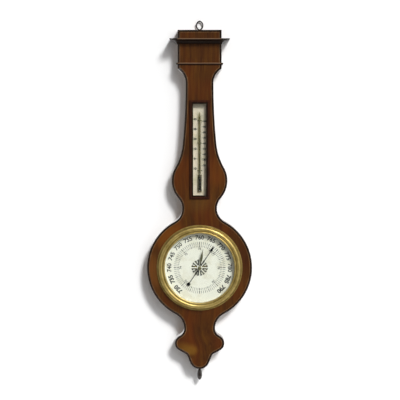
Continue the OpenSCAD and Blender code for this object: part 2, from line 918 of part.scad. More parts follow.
module dial_plate() {
    spoke_w = 1.5;
    spoke_flare = 1.1;
    eye_ring = 5.6;
    color(enamel)
        difference() {
            dial_post(drum_r - drum_t - 0.3, dial_h, dial_h + dial_t);
            dial_post(2.6, dial_h - over, dial_h + dial_t + over);
            translate([0, 0, dial_z])
                slab(dial_h - over, dial_h + dial_t + over)
                    difference() {
                        circle(pierced_r);
                        circle(eye_ring);
                        for (i = [0:pierced_count - 1])
                            rotate(i * 360 / pierced_count) {
                                polygon([
                                    [-spoke_w / 2, 0], [spoke_w / 2, 0],
                                    [spoke_w / 2 + spoke_flare / 2, pierced_r + over],
                                    [-spoke_w / 2 - spoke_flare / 2, pierced_r + over]
                                ]);
                                // A pointed leaf stands in from the rim in each opening
                                rotate(180 / pierced_count)
                                    polygon([
                                        [0, eye_ring + 3.2], [1.25, pierced_r - 4],
                                        [0.7, pierced_r - 2], [1.3, pierced_r + over],
                                        [-1.3, pierced_r + over], [-0.7, pierced_r - 2],
                                        [-1.25, pierced_r - 4]
                                    ]);
                            }
                    }
        }
}

module dial_feet() {
    color(brass)
        for (a = foot_angles)
            dial_post(2, plate_h + 0.02, dial_h - 0.02, polar(foot_at, a));
}

module dial_surround() {
    outer = drum_r - drum_t - 0.1;
    color(silvered)
        turned()
            polygon([
                [outer - 1.5, dial_h + dial_t + 0.02], [outer, dial_h + dial_t + 0.02],
                [outer, glass_h - 1.65], [outer - 0.7, glass_h - 1.65]
            ]);
}

// Movement. Its heights are stacked from the base plate to the dial.

base_r = 47;
capsule_h = work_h + 2.2;
capsule_t = 5;
skirt_t = 0.6;
diaphragm_t = 0.6;
boss_h = capsule_h + capsule_t;
capsule_post_r = 1.5;
capsule_post_top = 16.4;
pin_r = 0.6;
spring_v = -35;
trunnion_h = 10;
trunnion_r = 1.2;
cheek_x = [10, 12.4];
spring_t = 1;
spring_low_h = 12.5;
spring_rise = 1.5;
spring_tip_v = 7;
spring_start_v = spring_v - 3;
lever_x = -3.2;
lever_w = 2.4;
lever_t = 0.8;
shaft_v = 34;
shaft_h = 11.6;
shaft_r = 1;
pivot_r = 0.6;
short_arm = 2.5;
chain_h = 19.6;
chain_x = 1.7;
bridge_h = 17.2;
bridge_t = 1;
bridge_x = 32;
cock_h = 22.3;
cock_x = 11;
arbor_r = 0.75;
arbor_pivot_r = 0.5;

module base_plate() {
    color(brass)
        difference() {
            dial_post(base_r, plate_h + 0.02, work_h);
            for (a = base_screw_angles)
                dial_post(base_screw_r + play, plate_h - over, work_h + over,
                    polar(base_screw_at, a));
            dial_post(adjust_r + play, plate_h - over, work_h + over, adjust_at);
            for (x = bracket_screw_x)
                dial_post(bracket_screw_r + play, plate_h - over, work_h + over,
                    [x, bracket_screw_v]);
        }
}

module base_screws() {
    color(steel)
        for (a = base_screw_angles)
            back_screw([0, dial_z] + polar(base_screw_at, a), 2.4, drum_back_h - 1.2, 1.18,
                base_screw_r, work_h - drum_back_h);
}

// One side of a diaphragm's ridged section, as radius and height
function ridged(r0, r1, h, rise) = [
    for (i = [0:ridges * 8])
        let (t = i / (ridges * 8))
        [r0 + (r1 - r0) * t, h + rise * (1 - cos(360 * ridges * t)) / 2]
];
function reversed(p) = [for (i = [len(p) - 1:-1:0]) p[i]];

module capsule_back() {
    rim = capsule_r - skirt_t - 0.1;
    foot_r = 3;
    color(silvered)
        turned()
            polygon(concat(
                [[0, work_h + 0.02], [foot_r, work_h + 0.02], [foot_r, capsule_h]],
                ridged(foot_r + 1, rim - 1, capsule_h, 0.7),
                [[rim, capsule_h], [rim, capsule_h + capsule_t - 1.4],
                 [rim - 0.8, capsule_h + capsule_t - 1.4], [rim - 0.8, capsule_h + diaphragm_t]],
                reversed(ridged(foot_r + 1, rim - 1.4, capsule_h + diaphragm_t, 0.7)),
                [[0, capsule_h + diaphragm_t]]
            ));
}

module capsule_front() {
    boss_r = 5;
    color(silvered)
        difference() {
            turned()
                polygon(concat(
                    [[0, boss_h - diaphragm_t], [boss_r, boss_h - diaphragm_t]],
                    ridged(boss_r + 0.5, capsule_r - skirt_t - 0.8, boss_h - diaphragm_t, 0.5),
                    [[capsule_r - skirt_t, boss_h - diaphragm_t],
                     [capsule_r - skirt_t, boss_h - 2.8], [capsule_r, boss_h - 2.8],
                     [capsule_r, boss_h - 0.3], [capsule_r - 0.3, boss_h]],
                    reversed(ridged(boss_r + 0.5, capsule_r - skirt_t - 0.6, boss_h, 0.5)),
                    [[boss_r, boss_h], [boss_r, boss_h + 0.9], [capsule_post_r, boss_h + 0.9],
                     [capsule_post_r, capsule_post_top - 0.3],
                     [capsule_post_r - 0.3, capsule_post_top], [0, capsule_post_top]]
                ));
            cross_bar(pin_r + play / 2, -5, 5, 0, pin_h);
        }
}

pin_h = spring_low_h + spring_rise + spring_t + pin_r;

module capsule_pin() {
    color(steel)
        cross_bar(pin_r, -4, 4, 0, pin_h);
}

bracket_screw_x = [-7, 7];
bracket_screw_v = spring_v + 1;
bracket_screw_r = 0.9;

module spring_bracket() {
    v = [spring_v - 4, spring_v + 4];
    foot = 1.2;
    color(brass)
        difference() {
            union() {
                block([-cheek_x[1], cheek_x[1]], [v[0], -31.4], [work_h + 0.02, work_h + foot]);
                for (side = [-1, 1])
                    block(
                        side < 0 ? [-cheek_x[1], -cheek_x[0]] : [cheek_x[0], cheek_x[1]],
                        v, [work_h + 0.02, trunnion_h + 2.4]
                    );
            }
            cross_bar(trunnion_r + play, -20, 20, spring_v, trunnion_h);
            dial_post(adjust_r + 2.4, work_h - over, work_h + 3, adjust_at);
            for (x = bracket_screw_x)
                dial_post(bracket_screw_r + play, work_h - over, work_h + 5,
                    [x, bracket_screw_v]);
        }
}

module bracket_screws() {
    color(steel)
        for (x = bracket_screw_x)
            difference() {
                union() {
                    dial_post(1.7, work_h + 1.24, work_h + 2.2, [x, bracket_screw_v]);
                    dial_post(bracket_screw_r, plate_h + 0.05, work_h + 1.3,
                        [x, bracket_screw_v]);
                }
                block([x - 3, x + 3], [bracket_screw_v - 0.2, bracket_screw_v + 0.2],
                    [work_h + 1.8, work_h + 3]);
            }
}

module spring_carriage() {
    half = cheek_x[0] - 0.3;
    color(steel)
        union() {
            block([-half, half], [spring_v - 3, spring_v + 3], [trunnion_h - 1.2, spring_low_h]);
            cross_bar(trunnion_r, -cheek_x[1] - 0.4, cheek_x[1] + 0.4, spring_v, trunnion_h);
            block([-3, 3], [adjust_at[1] - 3, spring_v - 2.9], [trunnion_h - 0.4, spring_low_h]);
        }
}

// The mainspring's lower face, rising from the carriage to its tip
function spring_face(v) =
    spring_low_h + spring_rise * sin(90 * (v - spring_start_v) / (spring_tip_v - spring_start_v));

module mainspring() {
    steps = 12;
    vs = [for (i = [0:steps]) spring_start_v + (spring_tip_v - spring_start_v) * i / steps];
    color(steel)
        difference() {
            intersection() {
                translate([-12, 0, dial_z])
                    rotate([90, 0, 90])
                        linear_extrude(24)
                            polygon(concat(
                                [for (v = vs) [-spring_face(v) - 0.02, v]],
                                [for (i = [steps:-1:0])
                                    [-spring_face(vs[i]) - spring_t, vs[i]]]
                            ));
                translate([0, 0, dial_z])
                    slab(0, 30)
                        polygon([
                            [-8.5, spring_start_v - over], [8.5, spring_start_v - over],
                            [8.5, spring_v + 6], [4.6, -2], [4.6, spring_tip_v + over],
                            [-4.6, spring_tip_v + over], [-4.6, -2], [-8.5, spring_v + 6]
                        ]);
            }
            dial_post(capsule_post_r + 0.8, 10, 20);
        }
}

lever_h = spring_low_h + spring_rise + spring_t + 0.02;
lever_tip_v = shaft_v - short_arm;

module main_lever() {
    color(steel)
        difference() {
            union() {
                block([lever_x - lever_w / 2, lever_x + lever_w / 2], [2.6, lever_tip_v],
                    [lever_h, lever_h + lever_t]);
                dial_post(1.5, lever_h, lever_h + lever_t, [lever_x, lever_tip_v]);
            }
            dial_post(link_r + play, lever_h - over, lever_h + lever_t + over,
                [lever_x, lever_tip_v]);
            for (v = rivet_v)
                dial_post(rivet_r + play, lever_h - over, lever_h + lever_t + over, [lever_x, v]);
        }
}

rivet_v = [3.9, 6];
rivet_r = 0.5;

module lever_rivets() {
    color(brass)
        for (v = rivet_v)
            union() {
                dial_post(rivet_r, lever_h + 0.01, lever_h + lever_t + 0.02, [lever_x, v]);
                dial_post(0.9, lever_h + lever_t + 0.01, lever_h + lever_t + 0.4, [lever_x, v]);
            }
}

link_r = 0.4;

module connecting_link() {
    color(brass)
        union() {
            dial_post(link_r, shaft_h - 1.7, lever_h + lever_t + 0.5, [lever_x, lever_tip_v]);
            dial_post(0.8, lever_h + lever_t + 0.03, lever_h + lever_t + 0.6,
                [lever_x, lever_tip_v]);
        }
}

post_x = [11.4, 14.6];

module rocking_shaft() {
    arm_w = 1.6;
    eye_r2 = 1.7;
    tip_h = chain_h + 0.7;
    color(steel)
        difference() {
            union() {
                cross_bar(shaft_r, -post_x[0] + 0.3, post_x[0] - 0.3, shaft_v, shaft_h);
                cross_bar(pivot_r, -post_x[1] + 0.2, post_x[1] - 0.2, shaft_v, shaft_h);
                dial_post(eye_r2, shaft_h - 0.4, shaft_h + 0.4, [lever_x, lever_tip_v]);
                block([lever_x - 1, lever_x + 1], [lever_tip_v + 1, shaft_v],
                    [shaft_h - 0.4, shaft_h + 0.4]);
                block([chain_x - 0.4, chain_x + 0.4], [shaft_v - arm_w / 2, shaft_v + arm_w / 2],
                    [shaft_h, tip_h]);
                cross_bar(1.5, chain_x - 0.9, chain_x + 0.9, shaft_v, shaft_h);
            }
            dial_post(link_r + 0.4, shaft_h - over, shaft_h + over, [lever_x, lever_tip_v]);
        }
}

module shaft_posts() {
    color(brass)
        difference() {
            for (side = [-1, 1])
                union() {
                    block(side < 0 ? [-post_x[1], -post_x[0]] : post_x,
                        [shaft_v - 2.5, shaft_v + 2.5], [work_h + 0.02, shaft_h]);
                    cross_bar(2.5, side < 0 ? -post_x[1] : post_x[0],
                        side < 0 ? -post_x[0] : post_x[1], shaft_v, shaft_h);
                }
            cross_bar(pivot_r + play, -20, 20, shaft_v, shaft_h);
        }
}

// The straight run of the chain, from the drum to the arm. A link is one middle plate or two
// outer ones, and a pin joins it to the next.
module chain() {
    v0 = 0.2;
    v1 = shaft_v - 1.3;
    pitch = (v1 - v0) / chain_links;
    plate_half = 0.07;
    outer_x = 0.14;
    height = 0.4;
    color(steel)
        for (i = [0:chain_links - 1]) {
            v = v0 + i * pitch;
            middle = i % 2 == 0;
            for (dx = middle ? [0] : [-outer_x, outer_x])
                block([chain_x + dx - plate_half, chain_x + dx + plate_half],
                    [v - (i == 0 ? 0 : 0.2), v + pitch + (i == chain_links - 1 ? 0 : 0.2)],
                    [chain_h - height / 2, chain_h + height / 2]);
            if (i > 0)
                cross_bar(0.13, chain_x - 0.2, chain_x + 0.2, v, chain_h);
        }
}

module hand_arbor() {
    color(steel)
        turned()
            polygon([
                [0, bridge_h + 0.1], [arbor_pivot_r, bridge_h + 0.1],
                [arbor_pivot_r, bridge_h + bridge_t + 0.2], [arbor_r, bridge_h + bridge_t + 0.2],
                [arbor_r, hand_h + hand_t + 0.9], [arbor_r - 0.2, hand_h + hand_t + 1.1],
                [0, hand_h + hand_t + 1.1]
            ]);
}

module chain_drum() {
    low = bridge_h + bridge_t + 0.4;
    core = 0.86;
    wound = 1.14;
    flange = 2.2;
    color(brass)
        turned()
            polygon([
                [arbor_r + 0.01, low], [flange, low], [flange, low + 0.3], [core, low + 0.3],
                [core, low + 0.6], [wound, low + 0.75], [wound, low + 1.35], [core, low + 1.5],
                [core, low + 1.8], [flange, low + 1.8], [flange, low + 2.1],
                [arbor_r + 0.01, low + 2.1]
            ]);
}

module hand_collet() {
    color(brass)
        turned()
            polygon([
                [arbor_r + 0.01, hand_h - 0.9], [1.6, hand_h - 0.9], [2, hand_h - 0.02],
                [arbor_r + 0.01, hand_h - 0.02]
            ]);
}

module barometer_hand() {
    half_w = 0.65;
    tail_r = 3.45;
    tail_t = 0.9;
    head_from = hand_len - 13.5;
    color(blued)
        difference() {
            union() {
                hand_plate(hand_angle, hand_h, hand_h + hand_t)
                    union() {
                        polygon([
                            [-half_w, -hand_tail], [half_w, -hand_tail],
                            [half_w, head_from + 3], [3.8, head_from], [2.2, head_from + 5.2],
                            [0.12, hand_len], [-0.12, hand_len], [-2.2, head_from + 5.2],
                            [-3.8, head_from], [-half_w, head_from + 3]
                        ]);
                        translate([0, -hand_tail])
                            circle(tail_r);
                    }
                hand_plate(hand_angle, hand_h, hand_h + tail_t)
                    translate([0, -hand_tail])
                        circle(tail_r);
                dial_post(2.4, hand_h, hand_h + hand_t);
            }
            dial_post(arbor_r + 0.01, hand_h - over, hand_h + hand_t + over);
        }
}

spring_in = 2.6;
spring_out = 8;
hair_t = 0.25;
hair_h = [21, 21.8];

module hairspring() {
    steps = hairspring_turns * 24;
    turns = 360 * hairspring_turns;
    function radius(i) = spring_in + (spring_out - spring_in) * i / steps;
    color(blued)
        translate([0, 0, dial_z])
            slab(hair_h[0], hair_h[1])
                polygon(concat(
                    [for (i = [0:steps]) polar(radius(i) + hair_t / 2, turns * i / steps)],
                    [for (i = [steps:-1:0]) polar(radius(i) - hair_t / 2, turns * i / steps)]
                ));
}

module hairspring_collet() {
    color(brass)
        turned()
            polygon([
                [arbor_r + 0.01, hair_h[0] - 0.1], [2.2, hair_h[0] - 0.1],
                [2.2, hair_h[1] + 0.1], [arbor_r + 0.01, hair_h[1] + 0.1]
            ]);
}

module hairspring_stud() {
    color(brass)
        difference() {
            dial_post(0.85, hair_h[0] - 0.5, cock_h - 0.02, [spring_out, 0]);
            block([spring_out - hair_t / 2 - 0.2, spring_out + hair_t / 2 + 0.05], [-3, 0.3],
                [hair_h[0] - over, hair_h[1] + 0.05]);
        }
}

module long_bridge() {
    color(brass)
        difference() {
            union() {
                block([-bridge_x, bridge_x], [-4, 4], [bridge_h, bridge_h + bridge_t]);
                for (side = [-1, 1])
                    dial_post(4, bridge_h, bridge_h + bridge_t, [side * bridge_x, 0]);
            }
            dial_post(arbor_pivot_r + play, bridge_h - over, bridge_h + bridge_t + over);
        }
}

module bridge_pillars() {
    color(brass)
        for (side = [-1, 1])
            dial_post(2.4, work_h + 0.02, bridge_h - 0.02, [side * bridge_x, 0]);
}

module front_cock() {
    color(brass)
        difference() {
            union() {
                block([-cock_x, cock_x], [-2.6, 2.6], [cock_h, cock_h + bridge_t]);
                for (side = [-1, 1])
                    dial_post(2.6, cock_h, cock_h + bridge_t, [side * cock_x, 0]);
            }
            dial_post(arbor_r + play, cock_h - over, cock_h + bridge_t + over);
        }
}

module cock_pillars() {
    color(brass)
        for (side = [-1, 1])
            dial_post(1.2, bridge_h + bridge_t + 0.02, cock_h - 0.02, [side * cock_x, 0]);
}

module calibration_screw() {
    head_r = 2.7;
    color(steel)
        back_screw([0, dial_z] + adjust_at, head_r, 0.7, 1.7, adjust_r, trunnion_h - 3.2);
}

module calibration_bush() {
    color(brass)
        difference() {
            dial_post(adjust_r + 2, work_h + 0.02, work_h + 2.8, adjust_at);
            dial_post(adjust_r + play, work_h - over, work_h + 4, adjust_at);
        }
}

case_body();
front_board();
edge_bead();
edge_stringing();
cornice_shelf();
cornice_cove();
astragal();
finial();
hanger_plate();
hanging_loop();
hanger_screws();
thermometer_frame();
frame_slip();
thermometer_glass();
scale_plate();
thermometer_tube();
thermometer_liquid();
tube_clips();
bezel();
dial_glass();
glass_ring();
glass_bush();
set_knob();
set_hand();
set_washer();
movement_drum();
drum_clips();
drum_screws();
dial_plate();
dial_feet();
dial_surround();
base_plate();
base_screws();
capsule_back();
capsule_front();
capsule_pin();
spring_bracket();
bracket_screws();
spring_carriage();
mainspring();
main_lever();
lever_rivets();
connecting_link();
rocking_shaft();
shaft_posts();
chain();
hand_arbor();
chain_drum();
hand_collet();
barometer_hand();
hairspring();
hairspring_collet();
hairspring_stud();
long_bridge();
bridge_pillars();
front_cock();
cock_pillars();
calibration_screw();
calibration_bush();
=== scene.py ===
"""Finishes, printed scales and studio for a walnut banjo barometer with a thermometer."""

import math

import bmesh
import bpy
from mathutils import Matrix, Vector


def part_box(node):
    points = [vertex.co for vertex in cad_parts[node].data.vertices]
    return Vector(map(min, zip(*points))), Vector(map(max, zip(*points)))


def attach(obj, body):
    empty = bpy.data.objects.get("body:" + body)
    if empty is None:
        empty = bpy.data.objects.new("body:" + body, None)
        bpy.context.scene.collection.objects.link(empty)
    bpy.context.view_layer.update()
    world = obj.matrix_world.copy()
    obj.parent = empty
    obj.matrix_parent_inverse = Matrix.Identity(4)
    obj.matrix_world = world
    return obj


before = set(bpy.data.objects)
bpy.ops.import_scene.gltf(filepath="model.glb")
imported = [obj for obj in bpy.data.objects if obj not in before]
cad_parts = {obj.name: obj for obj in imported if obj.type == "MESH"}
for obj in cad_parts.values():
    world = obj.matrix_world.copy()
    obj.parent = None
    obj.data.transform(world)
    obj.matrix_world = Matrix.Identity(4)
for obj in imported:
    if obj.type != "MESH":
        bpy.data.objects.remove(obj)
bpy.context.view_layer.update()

bl_info = {
    "name": "Banjo Barometer",
    "version": (1, 0, 0),
    "blender": (4, 5, 0),
    "location": "View3D > Sidebar > Barometer",
    "description": "Finishes, dial printing and studio for a wall barometer with thermometer",
    "category": "Object",
}

MM = 0.001

# Places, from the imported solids
DIAL_CENTRE = sum(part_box("dial_plate"), Vector()) / 2
DIAL_FACE_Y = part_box("dial_plate")[0].y
SCALE_FACE_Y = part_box("scale_plate")[0].y
BOARD_FACE_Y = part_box("front_board")[0].y

# The dial's scale, in mm of mercury, and the thermometer's, in degrees
TOP_PRESSURE = 760
DEGREES_PER_MM = 4.5
COLDEST_C, WARMEST_C = -13, 46


def linear(colour):
    """A colour's linear red, green, blue and alpha from its sRGB hex."""
    channels = [int(colour[i:i + 2], 16) / 255 for i in (0, 2, 4)]
    return [
        c / 12.92 if c <= 0.04045 else ((c + 0.055) / 1.055) ** 2.4 for c in channels
    ] + [1.0]


def colour_setting(name, description, default):
    return bpy.props.FloatVectorProperty(
        name=name, description=description, subtype="COLOR", size=4, min=0, max=1,
        default=linear(default),
    )


def length_setting(name, description, default):
    return bpy.props.FloatProperty(
        name=name, description=description, default=default, min=0, unit="LENGTH",
        precision=5,
    )


class WoodSettings(bpy.types.PropertyGroup):
    """Colours and figure of the case's woods"""

    walnut_dark: colour_setting("Walnut, dark streaks", "Late wood of the veneer", "351b0a")
    walnut_mid: colour_setting("Walnut", "Main colour of the veneer", "46270b")
    walnut_light: colour_setting("Walnut, light streaks", "Early wood of the veneer", "54320c")
    walnut_warm: colour_setting("Walnut, warm patch", "Orange patch at the waist", "6e3a10")
    walnut_red: colour_setting("Walnut, red clouds", "Where the veneer is redder", "5c2809")
    ebonised: colour_setting("Ebonised wood", "Stained bead, cove and finial", "21140b")
    trim: colour_setting("Dark trim", "Stained walnut of the mouldings", "371a0d")
    stringing: colour_setting("Stringing", "Pale line beside the bead", "6b4f33")
    # Painted highlight: a pale colour on the face of the shelf and the strip that meets the
    # light, across the block's width
    rubbed: colour_setting("Painted highlight", "Shelf and strip, on the face that meets the light", "745a44")
    carcass: colour_setting("Carcass", "Bare wood at the back", "8d6b43")
    carcass_dark: colour_setting("Carcass, dark lines", "Its late wood", "6f5233")
    streak_width: length_setting("Streak width", "Width of a streak of the figure", 9 * MM)
    fibre_width: length_setting("Fibre width", "Width of a fine line of the grain", 2.2 * MM)


class MetalSettings(bpy.types.PropertyGroup):
    """Colours of the metals"""

    brass: colour_setting("Lacquered brass", "Bezel", "a8945a")
    brass_worn: colour_setting("Aged lacquer", "Where the lacquer has gone brown", "8c7844")
    tarnished: colour_setting("Tarnished brass", "Set hand and knob", "77755a")
    # Painted shade with aged brass: darkened so that the movement looks as dim as its recess
    movement_brass: colour_setting("Movement brass", "Plates and posts inside", "7d7556")
    silvered: colour_setting("Silvered brass", "Capsule and dial surround", "b9b5a4")
    steel: colour_setting("Steel", "Screws, springs and levers", "9a9c9f")
    blued: colour_setting("Blued steel", "Pressure hand and hairspring", "20242b")
    iron: colour_setting("Worn iron", "Hanging loop and its plate", "2f2c28")


class DialSettings(bpy.types.PropertyGroup):
    """Dial's enamel and printing"""

    enamel: colour_setting("Enamel", "Dial plate", "f5f2e7")
    enamel_aged: colour_setting("Aged enamel", "Faint stains in the dial", "e4decb")
    ink: colour_setting("Ink", "Ticks and numerals", "26241f")
    tick_width: length_setting("Tick width", "Width of a plain tick", 0.72 * MM)
    five_width: length_setting("Fives", "Width of every fifth tick", 1.2 * MM)
    ten_width: length_setting("Tens", "Width of every tenth tick", 1.5 * MM)
    inner_tick: length_setting("Inner tick", "Radius where a short tick starts", 46.4 * MM)
    tick_split: length_setting("Tick split", "Radius where the inner row ends", 45.2 * MM)
    inner_row: length_setting("Inner row", "Radius where the inner row starts", 41.2 * MM)
    outer_tick: length_setting("Outer tick", "Radius where the ticks end", 52 * MM)
    numeral_radius: length_setting("Numeral radius", "Middle of the small numerals", 38 * MM)
    numeral_height: length_setting("Numeral height", "Height of the small numerals", 4.4 * MM)
    value_radius: length_setting("Value radius", "Middle of the ring of pressures", 60.5 * MM)
    value_height: length_setting("Value height", "Height of those numbers", 8.2 * MM)
    numeral_weight: length_setting("Numeral weight", "Growth of their outline", 0.12 * MM)
    value_weight: length_setting("Value weight", "Growth of the pressures' outline", 0.3 * MM)
    bold_weight: length_setting("Bold weight", "The same at the ring's ends", 0.55 * MM)
    ink_height: length_setting("Ink height", "Thickness of the printing", 0.05 * MM)


class GlassSettings(bpy.types.PropertyGroup):
    """Tints of the glass"""

    dial: colour_setting("Dial glass", "Plate glass over the dial", "fbfdfb")
    bevelled: colour_setting("Thermometer glass", "Bevelled glass over its plate", "f7faf6")
    tube: colour_setting("Tube", "Drawn glass round the liquid", "c6c4ae")


class ThermometerSettings(bpy.types.PropertyGroup):
    """Thermometer's scale"""

    plate: colour_setting("Plate", "Painted scale plate", "eddccd")
    plate_aged: colour_setting("Aged plate", "Faint stains in its paint", "d6c7ac")
    spirit: colour_setting("Liquid", "Dark liquid in bulb and tube", "16140f")
    zero_drop: length_setting("Freezing point", "Its place below the loop", 273.6 * MM)
    ten_degrees: length_setting("Ten degrees", "Their length on the left scale", 19.8 * MM)
    tube_gap: length_setting("Tube gap", "From the tube's middle to a mark", 3.4 * MM)
    numeral_height: length_setting("Numeral height", "Height of the numerals", 4 * MM)


class StageSettings(bpy.types.PropertyGroup):
    """Wall, floor, lamps and camera"""

    wall: colour_setting("Wall", "Wall and floor", "fafafa")
    wall_bounce: colour_setting("Wall's bounce", "Colour that it throws on the case", "b4b4b4")
    distance: length_setting("Camera distance", "From the camera to the case's front", 2.65)
    camera_drop: length_setting("Camera drop", "Its place below the loop", 190 * MM)
    view_width: length_setting("View width", "Width that the picture shows there", 0.8)
    picture_x: length_setting("Picture centre", "Its place right of the loop", 0.8 * MM)
    picture_drop: length_setting("Picture drop", "Its place below the loop", 355.7 * MM)
    key_strength: bpy.props.FloatProperty(
        name="Key light", description="Strength of the lamp at the upper right",
        default=2.7, min=0,
    )
    window_strength: bpy.props.FloatProperty(
        name="Window light", description="Strength of the broad light from the right",
        default=1.3, min=0,
    )
    lamp_power: bpy.props.FloatProperty(
        name="Small lamps", description="Power of the lamps that show in the bezel", default=2,
        min=0, unit="POWER",
    )
    front_strength: bpy.props.FloatProperty(
        name="Light in front", description="Strength of the even light behind the camera",
        default=0.06, min=0,
    )
    world_strength: bpy.props.FloatProperty(
        name="Room light", description="Strength of the even light all round", default=0.13,
        min=0,
    )
    shown_strength: bpy.props.FloatProperty(
        name="Room in metal", description="Strength of the pale room that the metal shows",
        default=0.85, min=0,
    )
    shown_front: bpy.props.FloatProperty(
        name="Front in metal", description="Strength of the room that it shows in front",
        default=0.18, min=0,
    )


def put(tree, kind, inputs=None, stops=None, **settings):
    """Adds a node, sets it up, and gives each input a value or a link."""
    node = tree.nodes.new("ShaderNode" + kind)
    for name, value in settings.items():
        setattr(node, name, value)
    for name, value in (inputs or {}).items():
        if isinstance(value, bpy.types.NodeSocket):
            tree.links.new(value, node.inputs[name])
        else:
            node.inputs[name].default_value = value
    for i, (place, colour) in enumerate(stops or []):
        elements = node.color_ramp.elements
        if i >= len(elements):
            elements.new(place)
        elements[i].position = place
        elements[i].color = colour
    return node


def surface(name, **values):
    """A new material, its tree and its Principled shader with these plain values."""
    material = bpy.data.materials.new(name)
    material.use_nodes = True
    shader = material.node_tree.nodes["Principled BSDF"]
    for key, value in values.items():
        shader.inputs[key.replace("_", " ")].default_value = value
    return material, material.node_tree, shader


def shade_wood(tree, position, settings):
    """Walnut's colour: streaks and fibres that bend a little, and turn to burr at the foot."""
    # The figure wanders by a few millimetres over a hand's breadth, and further in the burr
    hand_breadth = 70 * MM
    burr_top, burr_full = -585 * MM, -640 * MM
    plain_wander, burr_wander = 11 * MM, 50 * MM
    drift = put(tree, "TexNoise", {"Vector": position, "Scale": 1 / hand_breadth, "Detail": 1.0})
    height = put(tree, "SeparateXYZ", {0: position}).outputs["Z"]
    burr = put(tree, "MapRange", {
        "Value": height, "From Min": burr_top, "From Max": burr_full,
        "To Min": plain_wander, "To Max": burr_wander,
    }).outputs[0]
    centred = put(tree, "VectorMath", {0: drift.outputs["Color"], 1: (0.5, 0.5, 0.5)},
                  operation="SUBTRACT").outputs[0]
    shift = put(tree, "VectorMath", {0: centred, "Scale": burr}, operation="SCALE").outputs[0]
    wandering = put(tree, "VectorMath", {0: position, 1: shift}, operation="ADD").outputs[0]

    # Squeezed along Z, so that the figure is drawn out up the case
    streak_length, fibre_length, fibre_share = 16, 30, 0.34
    drawn_out = put(tree, "Mapping", {
        "Vector": wandering, "Scale": (1, 1, 1 / streak_length),
    }).outputs[0]
    streaks = put(tree, "TexNoise", {
        "Vector": drawn_out, "Scale": 1 / settings.streak_width,
        "Detail": 3.0, "Roughness": 0.6,
    }).outputs["Fac"]
    # Real fibres are finer than 0.5 mm; they are drawn as coarse as they need to show
    long_lines = put(tree, "Mapping", {
        "Vector": wandering, "Scale": (1, 1, 1 / fibre_length),
    }).outputs[0]
    fibres = put(tree, "TexNoise", {
        "Vector": long_lines, "Scale": 1 / settings.fibre_width,
        "Detail": 2.0, "Roughness": 0.7,
    }).outputs["Fac"]
    tone = put(tree, "Mix", {0: fibre_share, 2: streaks, 3: fibres}).outputs[0]
    colour = put(tree, "ValToRGB", {"Fac": tone}, stops=[
        (0.36, settings.walnut_dark), (0.5, settings.walnut_mid), (0.66, settings.walnut_light),
    ]).outputs["Color"]
    return colour, fibres, wandering


def soft_patch(tree, position, centre_mm, radius_mm):
    """A mask that is 1 in the middle of a round patch of the front and fades to its edge."""
    right_mm, up_mm = centre_mm
    centre = Vector((right_mm * MM, BOARD_FACE_Y, up_mm * MM))
    away = put(tree, "VectorMath", {0: position, 1: centre}, operation="DISTANCE")
    return put(tree, "MapRange", {
        "Value": away.outputs["Value"], "From Min": radius_mm * MM,
        "From Max": 0.25 * radius_mm * MM,
    }, interpolation_type="SMOOTHSTEP").outputs[0]


def walnut_veneer(settings):
    """Sliced walnut veneer, French polished. Streaked brown with warm patches under a soft
    gloss, a dark patch of painted shade on darker wood at the circle's right, and the fibres are
    faintly felt in the polish."""
    material, tree, shader = surface(
        "french_polished_walnut_veneer", Roughness=0.5, IOR=1.5, Specular_IOR_Level=0.05,
        Coat_Weight=0.35, Coat_Roughness=0.15,
    )
    position = put(tree, "TexCoord").outputs["Object"]
    colour, fibres, wandering = shade_wood(tree, position, settings)
    # Clouds a hand's breadth long and 30 mm wide where the wood is redder
    drawn_out = put(tree, "Mapping", {"Vector": wandering, "Scale": (1, 1, 1 / 3)}).outputs[0]
    clouds = put(tree, "TexNoise", {
        "Vector": drawn_out, "Scale": 1 / (30 * MM), "Detail": 2.0,
    }).outputs["Fac"]
    redder = put(tree, "MapRange", {
        "Value": clouds, "From Min": 0.45, "From Max": 0.7, "To Max": 0.5,
    }).outputs[0]
    colour = put(tree, "Mix", {0: redder, 6: colour, 7: settings.walnut_red},
                 data_type="RGBA").outputs[2]
    # Patches of the figure, one of them also painted shade: the middle in mm to the right of the
    # loop and above it, the radius in mm, the tint, and how far the tint covers
    patches = [
        # Painted shade on darker wood: the dark patch at the circle's right, beside the bezel
        ((92, -474), 52, linear("3a1a0a"), 0.85),
        ((-66, -424), 46, linear("80460f"), 0.75),
        ((-92, -500), 44, linear("7a4e22"), 0.6),
        ((34, -300), 44, settings.walnut_warm, 0.6),
        ((-24, -654), 19, linear("86601e"), 0.8),
        ((-34, -640), 16, linear("40180b"), 0.6),
        ((34, -642), 22, linear("471a0c"), 0.7),
        ((8, -672), 16, linear("2f1508"), 0.7),
        ((0, -352), 40, linear("6b4a20"), 0.5),
    ]
    for centre, radius, tint, share in patches:
        mask = soft_patch(tree, wandering, centre, radius)
        amount = put(tree, "Math", {0: mask, 1: share}, operation="MULTIPLY").outputs[0]
        tinted = put(tree, "Mix", {0: amount, 6: colour, 7: tint}, data_type="RGBA").outputs[2]
        # The streaks still show in a patch
        colour = put(tree, "Mix", {0: 0.45, 6: tinted, 7: colour}, data_type="RGBA").outputs[2]
    tree.links.new(colour, shader.inputs["Base Color"])
    relief = put(tree, "Bump", {"Height": fibres, "Strength": 0.12, "Distance": 0.1 * MM})
    tree.links.new(relief.outputs[0], shader.inputs["Normal"])
    return material


